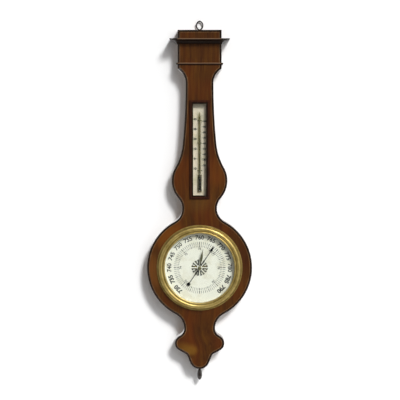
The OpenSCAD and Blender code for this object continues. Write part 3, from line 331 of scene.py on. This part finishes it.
def walnut_carcass(settings):
    """Solid walnut carcass, polished at the sides, whose paler colour is a painted sheen, and
    left bare and paler at the back.
    """
    material, tree, shader = surface(
        "walnut_carcass", Roughness=0.5, IOR=1.5, Coat_Weight=1.0, Coat_Roughness=0.05,
    )
    position = put(tree, "TexCoord").outputs["Object"]
    colour, fibres, _ = shade_wood(tree, position, settings)
    # The back is what faces the wall
    facing = put(tree, "SeparateXYZ", {0: put(tree, "TexCoord").outputs["Normal"]}).outputs["Y"]
    behind = put(tree, "Math", {0: facing, 1: 0.7}, operation="GREATER_THAN").outputs[0]
    bare = put(tree, "ValToRGB", {"Fac": fibres}, stops=[
        (0.35, settings.carcass_dark), (0.65, settings.carcass),
    ]).outputs["Color"]
    # Painted sheen: the sides are mixed toward the pale carcass colour, in place of the wall's
    # reflection at a glancing view
    sides = put(tree, "Mix", {0: 0.4, 6: colour, 7: settings.carcass},
                data_type="RGBA").outputs[2]
    both = put(tree, "Mix", {0: behind, 6: sides, 7: bare}, data_type="RGBA").outputs[2]
    tree.links.new(both, shader.inputs["Base Color"])
    rough = put(tree, "MapRange", {"Value": behind, "To Min": 0.3, "To Max": 0.8}).outputs[0]
    tree.links.new(rough, shader.inputs["Roughness"])
    relief = put(tree, "Bump", {"Height": fibres, "Strength": 0.05, "Distance": 0.1 * MM})
    tree.links.new(relief.outputs[0], shader.inputs["Normal"])
    return material


def stained_wood(name, colour, settings, gloss, coat, rubbed=None, lit_side=None):
    """Close-grained wood, stained and polished: nearly even in colour, with a bright edge where
    the polish catches the light and faint lines of grain. Given a highlight colour, the face
    turned to the light gets a painted highlight, as far out as the moulding's plain middle goes."""
    material, tree, shader = surface(
        name, Roughness=0.5, IOR=1.5, Specular_IOR_Level=0.05, Coat_Weight=coat,
        Coat_Roughness=gloss,
    )
    position = put(tree, "TexCoord").outputs["Object"]
    line_length = 12
    drawn_out = put(tree, "Mapping", {
        "Vector": position, "Scale": (1, 1, 1 / line_length),
    }).outputs[0]
    grain = put(tree, "TexNoise", {
        "Vector": drawn_out, "Scale": 1 / settings.fibre_width,
        "Detail": 3.0, "Roughness": 0.6,
    }).outputs["Fac"]
    darker, lighter = 0.62, 1.35
    dark = [c * darker for c in colour[:3]] + [1.0]
    light = [min(1.0, c * lighter) for c in colour[:3]] + [1.0]
    toned = put(tree, "ValToRGB", {"Fac": grain}, stops=[(0.38, dark), (0.62, light)])
    shown = toned.outputs["Color"]
    # Painted highlight: the face turned to the light is painted pale, as far out as the block's
    # sides
    if rubbed:
        highlight_end, highlight_full = 44.5 * MM, 42.5 * MM
        sideways = put(tree, "SeparateXYZ", {0: position}).outputs["X"]
        offset = put(tree, "Math", {0: sideways}, operation="ABSOLUTE").outputs[0]
        inside = put(tree, "MapRange", {
            "Value": offset, "From Min": highlight_end, "From Max": highlight_full,
        }).outputs[0]
        towards = put(tree, "VectorMath", {
            0: put(tree, "TexCoord").outputs["Normal"], 1: lit_side,
        }, operation="DOT_PRODUCT").outputs["Value"]
        wear_and_highlight = put(tree, "MapRange", {
            "Value": towards, "From Min": 0.4, "From Max": 0.85,
        }).outputs[0]
        share = put(tree, "Math", {0: inside, 1: wear_and_highlight}, operation="MULTIPLY").outputs[0]
        shown = put(tree, "Mix", {0: share, 6: shown, 7: rubbed}, data_type="RGBA").outputs[2]
    tree.links.new(shown, shader.inputs["Base Color"])
    relief = put(tree, "Bump", {"Height": grain, "Strength": 0.1, "Distance": 0.1 * MM})
    tree.links.new(relief.outputs[0], shader.inputs["Normal"])
    return material


def turned_brass(name, colour, wear_and_highlight, roughness, ring_mm):
    """Spun or turned brass: fine rings from the lathe round the dial's axis, and a lacquer
    that has browned in clouds about a centimetre across."""
    material, tree, shader = surface(name, Metallic=1.0, Roughness=roughness)
    position = put(tree, "TexCoord").outputs["Object"]
    clouds = put(tree, "TexNoise", {
        "Vector": position, "Scale": 1 / (11 * MM), "Detail": 4.0, "Roughness": 0.65,
    }).outputs["Fac"]
    toned = put(tree, "ValToRGB", {"Fac": clouds}, stops=[(0.38, wear_and_highlight), (0.6, colour)])
    tree.links.new(toned.outputs["Color"], shader.inputs["Base Color"])
    flat = put(tree, "VectorMath", {0: position, 1: (1, 0, 1)}, operation="MULTIPLY").outputs[0]
    radius = put(tree, "VectorMath", {0: flat, 1: (0, 0, DIAL_CENTRE.z)},
                 operation="DISTANCE").outputs["Value"]
    outward = put(tree, "Math", {0: radius, 1: 1 / (ring_mm * MM)}, operation="MULTIPLY")
    rings = put(tree, "TexNoise", {
        "W": outward.outputs[0], "Scale": 1.0, "Detail": 2.0,
    }, noise_dimensions="1D").outputs["Fac"]
    polish = put(tree, "MapRange", {
        "Value": put(tree, "Mix", {0: 0.5, 2: rings, 3: clouds}).outputs[0],
        "From Min": 0.3, "From Max": 0.7, "To Min": roughness + 0.1, "To Max": roughness - 0.04,
    }).outputs[0]
    tree.links.new(polish, shader.inputs["Roughness"])
    relief = put(tree, "Bump", {"Height": rings, "Strength": 0.06, "Distance": 0.05 * MM})
    tree.links.new(relief.outputs[0], shader.inputs["Normal"])
    return material


def worked_metal(name, colour, roughness, spread, grain_mm):
    """Filed or ground metal: an even colour with a slightly uneven polish."""
    material, tree, shader = surface(name, Metallic=1.0, Roughness=roughness)
    position = put(tree, "TexCoord").outputs["Object"]
    grain = put(tree, "TexNoise", {
        "Vector": position, "Scale": 1 / (grain_mm * MM), "Detail": 3.0, "Roughness": 0.6,
    }).outputs["Fac"]
    dark = [c * (1 - spread) for c in colour[:3]] + [1.0]
    light = [min(1.0, c * (1 + spread)) for c in colour[:3]] + [1.0]
    toned = put(tree, "ValToRGB", {"Fac": grain}, stops=[(0.35, dark), (0.65, light)])
    tree.links.new(toned.outputs["Color"], shader.inputs["Base Color"])
    polish = put(tree, "MapRange", {
        "Value": grain, "From Min": 0.3, "From Max": 0.7,
        "To Min": roughness + 0.08, "To Max": roughness - 0.05,
    }).outputs[0]
    tree.links.new(polish, shader.inputs["Roughness"])
    return material


def dial_enamel(name, colour, aged):
    """White enamel or paint on brass: even and slightly glossy, with faint yellow clouds of
    age and a fine orange-peel surface."""
    material, tree, shader = surface(
        name, Roughness=0.35, IOR=1.5, Coat_Weight=0.3, Coat_Roughness=0.15,
    )
    position = put(tree, "TexCoord").outputs["Object"]
    clouds = put(tree, "TexNoise", {
        "Vector": position, "Scale": 1 / (20 * MM), "Detail": 4.0, "Roughness": 0.6,
    }).outputs["Fac"]
    toned = put(tree, "ValToRGB", {"Fac": clouds}, stops=[(0.3, aged), (0.52, colour)])
    tree.links.new(toned.outputs["Color"], shader.inputs["Base Color"])
    peel = put(tree, "TexNoise", {"Vector": position, "Scale": 1 / (1.5 * MM), "Detail": 1.0})
    relief = put(tree, "Bump", {"Height": peel.outputs["Fac"], "Strength": 0.04,
                                "Distance": 0.05 * MM})
    tree.links.new(relief.outputs[0], shader.inputs["Normal"])
    return material


def printing_ink(colour):
    """Black printing ink, baked on: dark and barely glossy, thinner in places. The dial and
    the thermometer share it."""
    made = bpy.data.materials.get("printing_ink")
    if made:
        return made
    material, tree, shader = surface("printing_ink", Roughness=0.5, IOR=1.5)
    wear = put(tree, "TexNoise", {
        "Vector": put(tree, "TexCoord").outputs["Object"], "Scale": 1 / (3 * MM), "Detail": 2.0,
    }).outputs["Fac"]
    faded = [c + 0.05 for c in colour[:3]] + [1.0]
    toned = put(tree, "ValToRGB", {"Fac": wear}, stops=[(0.45, colour), (0.75, faded)])
    tree.links.new(toned.outputs["Color"], shader.inputs["Base Color"])
    return material


def clear_glass(name, tint, roughness):
    """Clear glass, ground and polished: sharp reflections at its bevels, and lamps reach
    what is behind it."""
    material, tree, shader = surface(
        name, Roughness=roughness, IOR=1.5, Transmission_Weight=1.0,
    )
    shader.inputs["Base Color"].default_value = tint
    # Lamp light and bounced light go straight through, so that neither is counted twice
    ray = put(tree, "LightPath")
    lamp_ray = put(tree, "Math", {
        0: ray.outputs["Is Shadow Ray"], 1: ray.outputs["Is Diffuse Ray"],
    }, operation="MAXIMUM").outputs[0]
    through = put(tree, "BsdfTransparent", {"Color": tint})
    mixed = put(tree, "MixShader", {0: lamp_ray, 1: shader.outputs[0], 2: through.outputs[0]})
    tree.links.new(mixed.outputs[0], tree.nodes["Material Output"].inputs["Surface"])
    return material


def coloured_liquid(colour):
    """Dark liquid behind glass: smooth and glossy, and very slightly paler in places."""
    material, tree, shader = surface("thermometer_liquid", Roughness=0.12, IOR=1.36)
    clouds = put(tree, "TexNoise", {
        "Vector": put(tree, "TexCoord").outputs["Object"], "Scale": 1 / (6 * MM),
    }).outputs["Fac"]
    lighter = [c + 0.01 for c in colour[:3]] + [1.0]
    toned = put(tree, "ValToRGB", {"Fac": clouds}, stops=[(0.4, colour), (0.7, lighter)])
    tree.links.new(toned.outputs["Color"], shader.inputs["Base Color"])
    return material


def dress(nodes, material):
    """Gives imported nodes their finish."""
    for name in nodes:
        mesh_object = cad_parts[name]
        for holder in mesh_object.material_slots:
            holder.material = material
        if not mesh_object.material_slots:
            mesh_object.data.materials.append(material)


def add_piece(name, mesh, material, body):
    """Puts a new piece in the scene on its body, with its finish."""
    piece = bpy.data.objects.new(name, mesh)
    bpy.context.scene.collection.objects.link(piece)
    mesh.materials.append(material)
    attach(piece, body)
    return piece


def bar(builder, corner, size, turn=Matrix.Identity(4)):
    """A thin block from a corner with this width, depth and height, turned last."""
    low, high = Vector(corner), Vector(corner) + Vector(size)
    corners = [
        builder.verts.new(turn @ Vector((x, y, z)))
        for x in (low.x, high.x) for y in (low.y, high.y) for z in (low.z, high.z)
    ]
    for side in ((0, 1, 3, 2), (4, 6, 7, 5), (0, 4, 5, 1), (2, 3, 7, 6), (0, 2, 6, 4),
                 (1, 5, 7, 3)):
        builder.faces.new([corners[i] for i in side])


def about_dial(angle_deg):
    """Turns a thing drawn upright over the dial's centre clockwise to its place."""
    centre = Matrix.Translation(Vector((0, 0, DIAL_CENTRE.z)))
    return centre @ Matrix.Rotation(math.radians(angle_deg), 4, "Y")


def numeral_mesh(text, height, thickness, weight):
    """A number as a thin solid, upright and centred, facing the viewer."""
    figure_share = 0.7  # a figure's height in Blender's own font, as a share of the size
    curve = bpy.data.curves.new("numeral", "FONT")
    curve.body = text
    curve.size = height / figure_share
    curve.align_x = "CENTER"
    curve.align_y = "CENTER"
    curve.extrude = thickness / 2
    curve.offset = weight
    curve.resolution_u = 3
    holder = bpy.data.objects.new("numeral", curve)
    bpy.context.scene.collection.objects.link(holder)
    bpy.context.view_layer.update()
    solid = holder.evaluated_get(bpy.context.evaluated_depsgraph_get())
    mesh = bpy.data.meshes.new_from_object(solid)
    bpy.data.objects.remove(holder)
    bpy.data.curves.remove(curve)
    mesh.transform(Matrix.Rotation(math.pi / 2, 4, "X"))
    return mesh


def add_numeral(builder, text, height, thickness, weight, place):
    """Adds a number to a piece at its place; weight is how far its outline grows."""
    mesh = numeral_mesh(text, height, thickness, weight)
    mesh.transform(place)
    builder.from_mesh(mesh)
    bpy.data.meshes.remove(mesh)


def finished_mesh(builder, name):
    """The mesh of what was built, with its faces turned outward."""
    bmesh.ops.recalc_face_normals(builder, faces=builder.faces)
    mesh = bpy.data.meshes.new(name)
    builder.to_mesh(mesh)
    builder.free()
    return mesh


class BAROMETER_OT_case(bpy.types.Operator):
    """Polish the case, its mouldings and its finial"""

    bl_idname = "barometer.case"
    bl_label = "Case"

    def execute(self, context):
        wood = context.scene.barometer_wood
        dress(["front_board"], walnut_veneer(wood))
        dress(["case_body"], walnut_carcass(wood))
        dress(["thermometer_frame"],
              stained_wood("dark_polished_walnut", wood.trim, wood, 0.15, 0.3))
        # The shelf's front and the strip's top carry a painted highlight
        dress(["cornice_shelf"],
              stained_wood("dark_shelf_painted_highlight", wood.ebonised, wood, 0.2, 0.15, wood.rubbed,
                           (0, -1, 0)))
        dress(["astragal"],
              stained_wood("dark_strip_painted_highlight", wood.ebonised, wood, 0.2, 0.15, wood.rubbed,
                           (0, -0.5, 0.87)))
        dress(["finial"],
              stained_wood("turned_ebonised_wood", wood.ebonised, wood, 0.16, 1.0))
        dress(["edge_bead", "cornice_cove", "frame_slip"],
              stained_wood("ebonised_wood", wood.ebonised, wood, 0.2, 0.12))
        dress(["edge_stringing"],
              stained_wood("polished_boxwood_line", wood.stringing, wood, 0.2, 0.2))
        return {"FINISHED"}


class BAROMETER_OT_metal(bpy.types.Operator):
    """Finish the brass, steel and iron pieces"""

    bl_idname = "barometer.metal"
    bl_label = "Metal"

    def execute(self, context):
        metal = context.scene.barometer_metal
        dress(["bezel", "glass_ring", "glass_bush"],
              turned_brass("lacquered_brass", metal.brass, metal.brass_worn, 0.4, 0.8))
        # The movement's brass is darkened, partly aged brass and partly painted shade of its
        # recess
        dress(["movement_drum", "drum_clips", "dial_feet", "base_plate", "spring_bracket",
               "shaft_posts", "lever_rivets", "connecting_link", "chain_drum", "hand_collet",
               "hairspring_collet", "hairspring_stud", "long_bridge", "bridge_pillars",
               "front_cock", "cock_pillars", "calibration_bush"],
              turned_brass("satin_brass_painted_shade", metal.movement_brass, metal.brass_worn, 0.34, 0.6))
        dress(["dial_surround", "capsule_back", "capsule_front"],
              worked_metal("silvered_brass", metal.silvered, 0.35, 0.08, 2.5))
        dress(["hanger_screws", "set_washer", "drum_screws", "base_screws", "capsule_pin",
               "bracket_screws", "spring_carriage", "mainspring", "main_lever",
               "rocking_shaft", "chain", "hand_arbor", "calibration_screw"],
              worked_metal("ground_steel", metal.steel, 0.3, 0.1, 1.5))
        dress(["set_hand", "set_knob", "tube_clips"],
              worked_metal("tarnished_brass", metal.tarnished, 0.4, 0.12, 2))
        dress(["barometer_hand", "hairspring"],
              worked_metal("blued_steel", metal.blued, 0.28, 0.25, 3))
        dress(["hanger_plate", "hanging_loop"],
              worked_metal("worn_iron", metal.iron, 0.5, 0.3, 2))
        return {"FINISHED"}


class BAROMETER_OT_glass(bpy.types.Operator):
    """Glaze the dial and the thermometer"""

    bl_idname = "barometer.glass"
    bl_label = "Glass"

    def execute(self, context):
        glass = context.scene.barometer_glass
        dress(["dial_glass"], clear_glass("plate_glass", glass.dial, 0.0))
        dress(["thermometer_glass"], clear_glass("bevelled_glass", glass.bevelled, 0.0))
        dress(["thermometer_tube"], clear_glass("drawn_glass_tube", glass.tube, 0.05))
        dress(["thermometer_liquid"],
              coloured_liquid(list(context.scene.barometer_thermometer.spirit)))
        return {"FINISHED"}


class BAROMETER_OT_dial(bpy.types.Operator):
    """Enamel the dial and print its ticks and numbers"""

    bl_idname = "barometer.dial"
    bl_label = "Dial"

    def execute(self, context):
        dial = context.scene.barometer_dial
        dress(["dial_plate"], dial_enamel("dial_enamel", dial.enamel, dial.enamel_aged))
        ink = printing_ink(dial.ink)
        depth = dial.ink_height
        face = DIAL_FACE_Y - depth

        ticks = bmesh.new()
        for step in range(int(360 / DEGREES_PER_MM)):
            turn = about_dial(step * DEGREES_PER_MM)
            width = dial.tick_width
            if step % 10 == 0:
                width = dial.ten_width
            elif step % 5 == 0:
                width = dial.five_width
            for low, high in ((dial.inner_tick, dial.outer_tick),
                              (dial.inner_row, dial.tick_split)):
                bar(ticks, (-width / 2, face, low), (width, depth, high - low), turn)
        add_piece("dial_ticks", finished_mesh(ticks, "dial_ticks"), ink, "case")

        small = bmesh.new()
        for centimetres in range(73, 80):
            place = about_dial((centimetres * 10 - TOP_PRESSURE) * DEGREES_PER_MM)
            place = place @ Matrix.Translation((0, face + depth / 2, dial.numeral_radius))
            add_numeral(small, str(centimetres), dial.numeral_height, depth,
                        dial.numeral_weight, place)
        add_piece("dial_numerals", finished_mesh(small, "dial_numerals"), ink, "case")

        large = bmesh.new()
        bold_beyond_deg = 110
        for pressure in range(730, 791, 5):
            angle = (pressure - TOP_PRESSURE) * DEGREES_PER_MM
            place = about_dial(angle)
            place = place @ Matrix.Translation((0, face + depth / 2, dial.value_radius))
            bold = abs(angle) > bold_beyond_deg
            add_numeral(large, str(pressure), dial.value_height, depth,
                        dial.bold_weight if bold else dial.value_weight, place)
        add_piece("dial_pressures", finished_mesh(large, "dial_pressures"), ink, "case")
        return {"FINISHED"}


class BAROMETER_OT_thermometer(bpy.types.Operator):
    """Paint the thermometer's plate and print its two scales"""

    bl_idname = "barometer.thermometer"
    bl_label = "Thermometer"

    def execute(self, context):
        scale = context.scene.barometer_thermometer
        dial = context.scene.barometer_dial
        dress(["scale_plate"], dial_enamel("painted_plate", scale.plate, scale.plate_aged))
        ink = printing_ink(dial.ink)
        depth = dial.ink_height
        face = SCALE_FACE_Y - depth
        degree = scale.ten_degrees / 10
        freezing = -scale.zero_drop
        lowest, highest = freezing + COLDEST_C * degree, freezing + WARMEST_C * degree

        # Length and width of each kind of mark; the boldest is where water freezes
        tens, fives, ones = (3.2, 0.7), (2.2, 0.4), (1.5, 0.4)
        fahrenheit_twos, freezing_line = (1.6, 0.4), (9.6, 0.9)
        marks = bmesh.new()

        def mark(z, size_mm, left):
            """A level mark from beside the tube outward."""
            length, width = size_mm[0] * MM, size_mm[1] * MM
            start = -scale.tube_gap - length if left else scale.tube_gap
            bar(marks, (start, face, z - width / 2), (length, depth, width))

        for step in range(COLDEST_C, WARMEST_C + 1):
            size = tens if step % 10 == 0 else fives if step % 5 == 0 else ones
            mark(freezing + step * degree, size, True)
        fahrenheit = degree / 1.8
        for step in range(10, 114, 2):
            z = freezing + (step - 32) * fahrenheit
            if lowest <= z <= highest:
                mark(z, tens if step % 10 == 0 else fahrenheit_twos, False)
        for left in (True, False):
            mark(freezing, freezing_line, left)
        add_piece("thermometer_marks", finished_mesh(marks, "thermometer_marks"), ink, "case")

        numbers = bmesh.new()
        middle_y = face + depth / 2
        left_x, left_height, left_weight = -9.2 * MM, scale.numeral_height, 0.34 * MM
        for step in range(-10, 50, 10):
            place = Matrix.Translation((left_x, middle_y, freezing + step * degree))
            add_numeral(numbers, str(abs(step)), left_height, depth, left_weight, place)
        # 100 has three figures, so the right scale's numbers are a little smaller
        right_x, right_height, right_weight = 9.4 * MM, 0.85 * left_height, 0.26 * MM
        for step in range(20, 110, 10):
            z = freezing + (step - 32) * fahrenheit
            if z <= highest:
                place = Matrix.Translation((right_x, middle_y, z))
                add_numeral(numbers, str(step), right_height, depth, right_weight, place)
        add_piece("thermometer_numerals", finished_mesh(numbers, "thermometer_numerals"), ink,
                  "case")
        return {"FINISHED"}


class BAROMETER_OT_stage(bpy.types.Operator):
    """Set up the wall, floor, lamps, world and camera"""

    bl_idname = "barometer.stage"
    bl_label = "Stage"

    def execute(self, context):
        stage = context.scene.barometer_stage
        scene = context.scene
        make_sweep(stage)
        make_world(scene, stage)
        aim = Vector((0, 0, -stage.picture_drop))
        add_sun("key_light", (-0.55, 1.0, -0.92), 13, stage.key_strength)
        add_sun("window_light", (-0.9, 1.0, -0.8), 70, stage.window_strength)
        # Each small lamp's place, size and share of the power; the last is for views from behind
        lamps = (
            ("upper_left_lamp", (-1.3, -1.5, 0.9), 0.25, 1),
            ("upper_right_lamp", (0.75, -1.9, 1.2), 0.3, 1),
            ("low_lamp", (0.7, -1.7, -1.15), 0.2, 0.5),
            ("back_lamp", (-0.9, 1.8, 0.7), 1.2, 16),
        )
        for name, place, size, share in lamps:
            add_lamp(name, place, aim, size, stage.lamp_power * share)
        make_camera(scene, stage)
        scene.view_settings.view_transform = "Standard"
        return {"FINISHED"}


def studio_paper(stage):
    """Matt white background paper: even and without gloss, so that only shadows show."""
    material = bpy.data.materials.new("studio_paper")
    material.use_nodes = True
    tree = material.node_tree
    tree.nodes.remove(tree.nodes["Principled BSDF"])
    # White for the eye, metal and glass; what it throws back on the case is less than a
    # white room would, so that shadows stay
    ray = put(tree, "LightPath")
    bounced = put(tree, "Mix", {0: ray.outputs["Is Diffuse Ray"], 6: stage.wall,
                                7: stage.wall_bounce}, data_type="RGBA").outputs[2]
    paper = put(tree, "BsdfDiffuse", {"Color": bounced})
    # From behind it is clear, for the eye, for the back lamp, and for what the back of the
    # case mirrors, which is a ray that meets the paper a hand's breadth away at most
    mirrored_reach = 60 * MM
    away = put(tree, "Math", {
        0: put(tree, "NewGeometry").outputs["Backfacing"], 1: ray.outputs["Is Shadow Ray"],
    }, operation="MAXIMUM").outputs[0]
    near = put(tree, "Math", {0: ray.outputs["Ray Length"], 1: mirrored_reach},
               operation="LESS_THAN").outputs[0]
    near = put(tree, "Math", {0: near, 1: ray.outputs["Is Glossy Ray"]},
               operation="MULTIPLY").outputs[0]
    away = put(tree, "Math", {0: away, 1: near}, operation="MAXIMUM").outputs[0]
    clear = put(tree, "BsdfTransparent")
    both = put(tree, "MixShader", {0: away, 1: paper.outputs[0], 2: clear.outputs[0]})
    tree.links.new(both.outputs[0], tree.nodes["Material Output"].inputs["Surface"])
    return material


def make_sweep(stage):
    """Pale wall behind the case that curves into a floor, clear from behind."""
    wall_y, floor_z, top_z = 0.6 * MM, -1.7, 1.2
    half_width, front_y, bend, bend_steps = 2.4, -2.2, 0.3, 12
    profile = [(wall_y, top_z), (wall_y, floor_z + bend)]
    for step in range(1, bend_steps):
        angle = math.radians(90 * step / bend_steps)
        profile.append((wall_y - bend + bend * math.cos(angle),
                        floor_z + bend - bend * math.sin(angle)))
    profile += [(wall_y - bend, floor_z), (front_y, floor_z)]
    builder = bmesh.new()
    rows = [
        [builder.verts.new((x, y, z)) for x in (-half_width, half_width)] for y, z in profile
    ]
    for above, below in zip(rows, rows[1:]):
        builder.faces.new([above[0], below[0], below[1], above[1]])
    mesh = bpy.data.meshes.new("sweep")
    builder.to_mesh(mesh)
    builder.free()
    for face in mesh.polygons:
        face.use_smooth = True
    sweep = bpy.data.objects.new("sweep", mesh)
    bpy.context.scene.collection.objects.link(sweep)
    mesh.materials.append(studio_paper(stage))


def add_sun(name, course, breadth_deg, strength):
    """Even light on this course, from a source that looks this broad from the case."""
    lamp = bpy.data.lights.new(name, "SUN")
    lamp.energy = strength
    lamp.angle = math.radians(breadth_deg)
    holder = bpy.data.objects.new(name, lamp)
    bpy.context.scene.collection.objects.link(holder)
    holder.location = -2 * Vector(course)
    holder.rotation_mode = "QUATERNION"
    holder.rotation_quaternion = Vector(course).to_track_quat("-Z", "Y")


def make_world(scene, stage):
    """Room light that is dimmer in front of the case, and plain white for the eye."""
    world = bpy.data.worlds.new("studio")
    scene.world = world
    world.use_nodes = True
    tree = world.node_tree
    ray = put(tree, "LightPath")
    forward = put(tree, "SeparateXYZ", {0: put(tree, "TexCoord").outputs["Generated"]})
    # A ray that passes through glass counts as glossy too, and it isn't a mirrored one
    mirrored = put(tree, "Math", {
        0: ray.outputs["Is Glossy Ray"], 1: ray.outputs["Is Transmission Ray"],
    }, operation="SUBTRACT").outputs[0]
    mirrored = put(tree, "Math", {0: mirrored, 1: 0.0}, operation="MAXIMUM").outputs[0]
    around = put(tree, "Mix", {
        0: mirrored, 2: stage.world_strength, 3: stage.shown_strength,
    }).outputs[0]
    in_front = put(tree, "Mix", {
        0: mirrored, 2: stage.front_strength, 3: stage.shown_front,
    }).outputs[0]
    straight_ahead, aside = -0.95, -0.6
    room = put(tree, "MapRange", {
        "Value": forward.outputs["Y"], "From Min": straight_ahead, "From Max": aside,
        "To Min": in_front, "To Max": around,
    }, interpolation_type="SMOOTHSTEP").outputs[0]
    strength = put(tree, "Mix", {0: ray.outputs["Is Camera Ray"], 2: room, 3: 1.0}).outputs[0]
    tree.links.new(strength, tree.nodes["Background"].inputs["Strength"])
    tree.nodes["Background"].inputs["Color"].default_value = (1, 1, 1, 1)


def add_lamp(name, place, aim, size, power):
    """A square soft lamp at a place, turned to its aim."""
    lamp = bpy.data.lights.new(name, "AREA")
    lamp.shape = "SQUARE"
    lamp.size = size
    lamp.energy = power
    holder = bpy.data.objects.new(name, lamp)
    bpy.context.scene.collection.objects.link(holder)
    holder.location = place
    holder.rotation_mode = "QUATERNION"
    holder.rotation_quaternion = (aim - Vector(place)).to_track_quat("-Z", "Y")


def make_camera(scene, stage):
    """Looks a little down at the case from straight in front of its neck."""
    aim = Vector((stage.picture_x, BOARD_FACE_Y, -stage.picture_drop))
    place = Vector((stage.picture_x, BOARD_FACE_Y - stage.distance, -stage.camera_drop))
    camera = bpy.data.cameras.new("camera")
    camera.sensor_width = 36
    camera.lens = camera.sensor_width * (aim - place).length / stage.view_width
    holder = bpy.data.objects.new("camera", camera)
    scene.collection.objects.link(holder)
    holder.location = place
    holder.rotation_mode = "QUATERNION"
    holder.rotation_quaternion = (aim - place).to_track_quat("-Z", "Y")
    scene.camera = holder


class BAROMETER_PT_panel(bpy.types.Panel):
    """Steps that finish the barometer"""

    bl_idname = "BAROMETER_PT_panel"
    bl_label = "Barometer"
    bl_space_type = "VIEW_3D"
    bl_region_type = "UI"
    bl_category = "Barometer"

    def draw(self, context):
        for step in STEPS:
            self.layout.operator(step.bl_idname)


SETTINGS = {
    "barometer_wood": WoodSettings,
    "barometer_metal": MetalSettings,
    "barometer_glass": GlassSettings,
    "barometer_dial": DialSettings,
    "barometer_thermometer": ThermometerSettings,
    "barometer_stage": StageSettings,
}
STEPS = (
    BAROMETER_OT_case,
    BAROMETER_OT_metal,
    BAROMETER_OT_glass,
    BAROMETER_OT_dial,
    BAROMETER_OT_thermometer,
    BAROMETER_OT_stage,
)
CLASSES = (*SETTINGS.values(), *STEPS, BAROMETER_PT_panel)


def register():
    for entry in CLASSES:
        bpy.utils.register_class(entry)
    for name, group in SETTINGS.items():
        setattr(bpy.types.Scene, name, bpy.props.PointerProperty(type=group))


def unregister():
    for name in SETTINGS:
        delattr(bpy.types.Scene, name)
    for entry in reversed(CLASSES):
        bpy.utils.unregister_class(entry)


def main():
    register()
    bpy.ops.barometer.case()
    bpy.ops.barometer.metal()
    bpy.ops.barometer.glass()
    bpy.ops.barometer.dial()
    bpy.ops.barometer.thermometer()
    bpy.ops.barometer.stage()


if __name__ == "__main__":
    main()
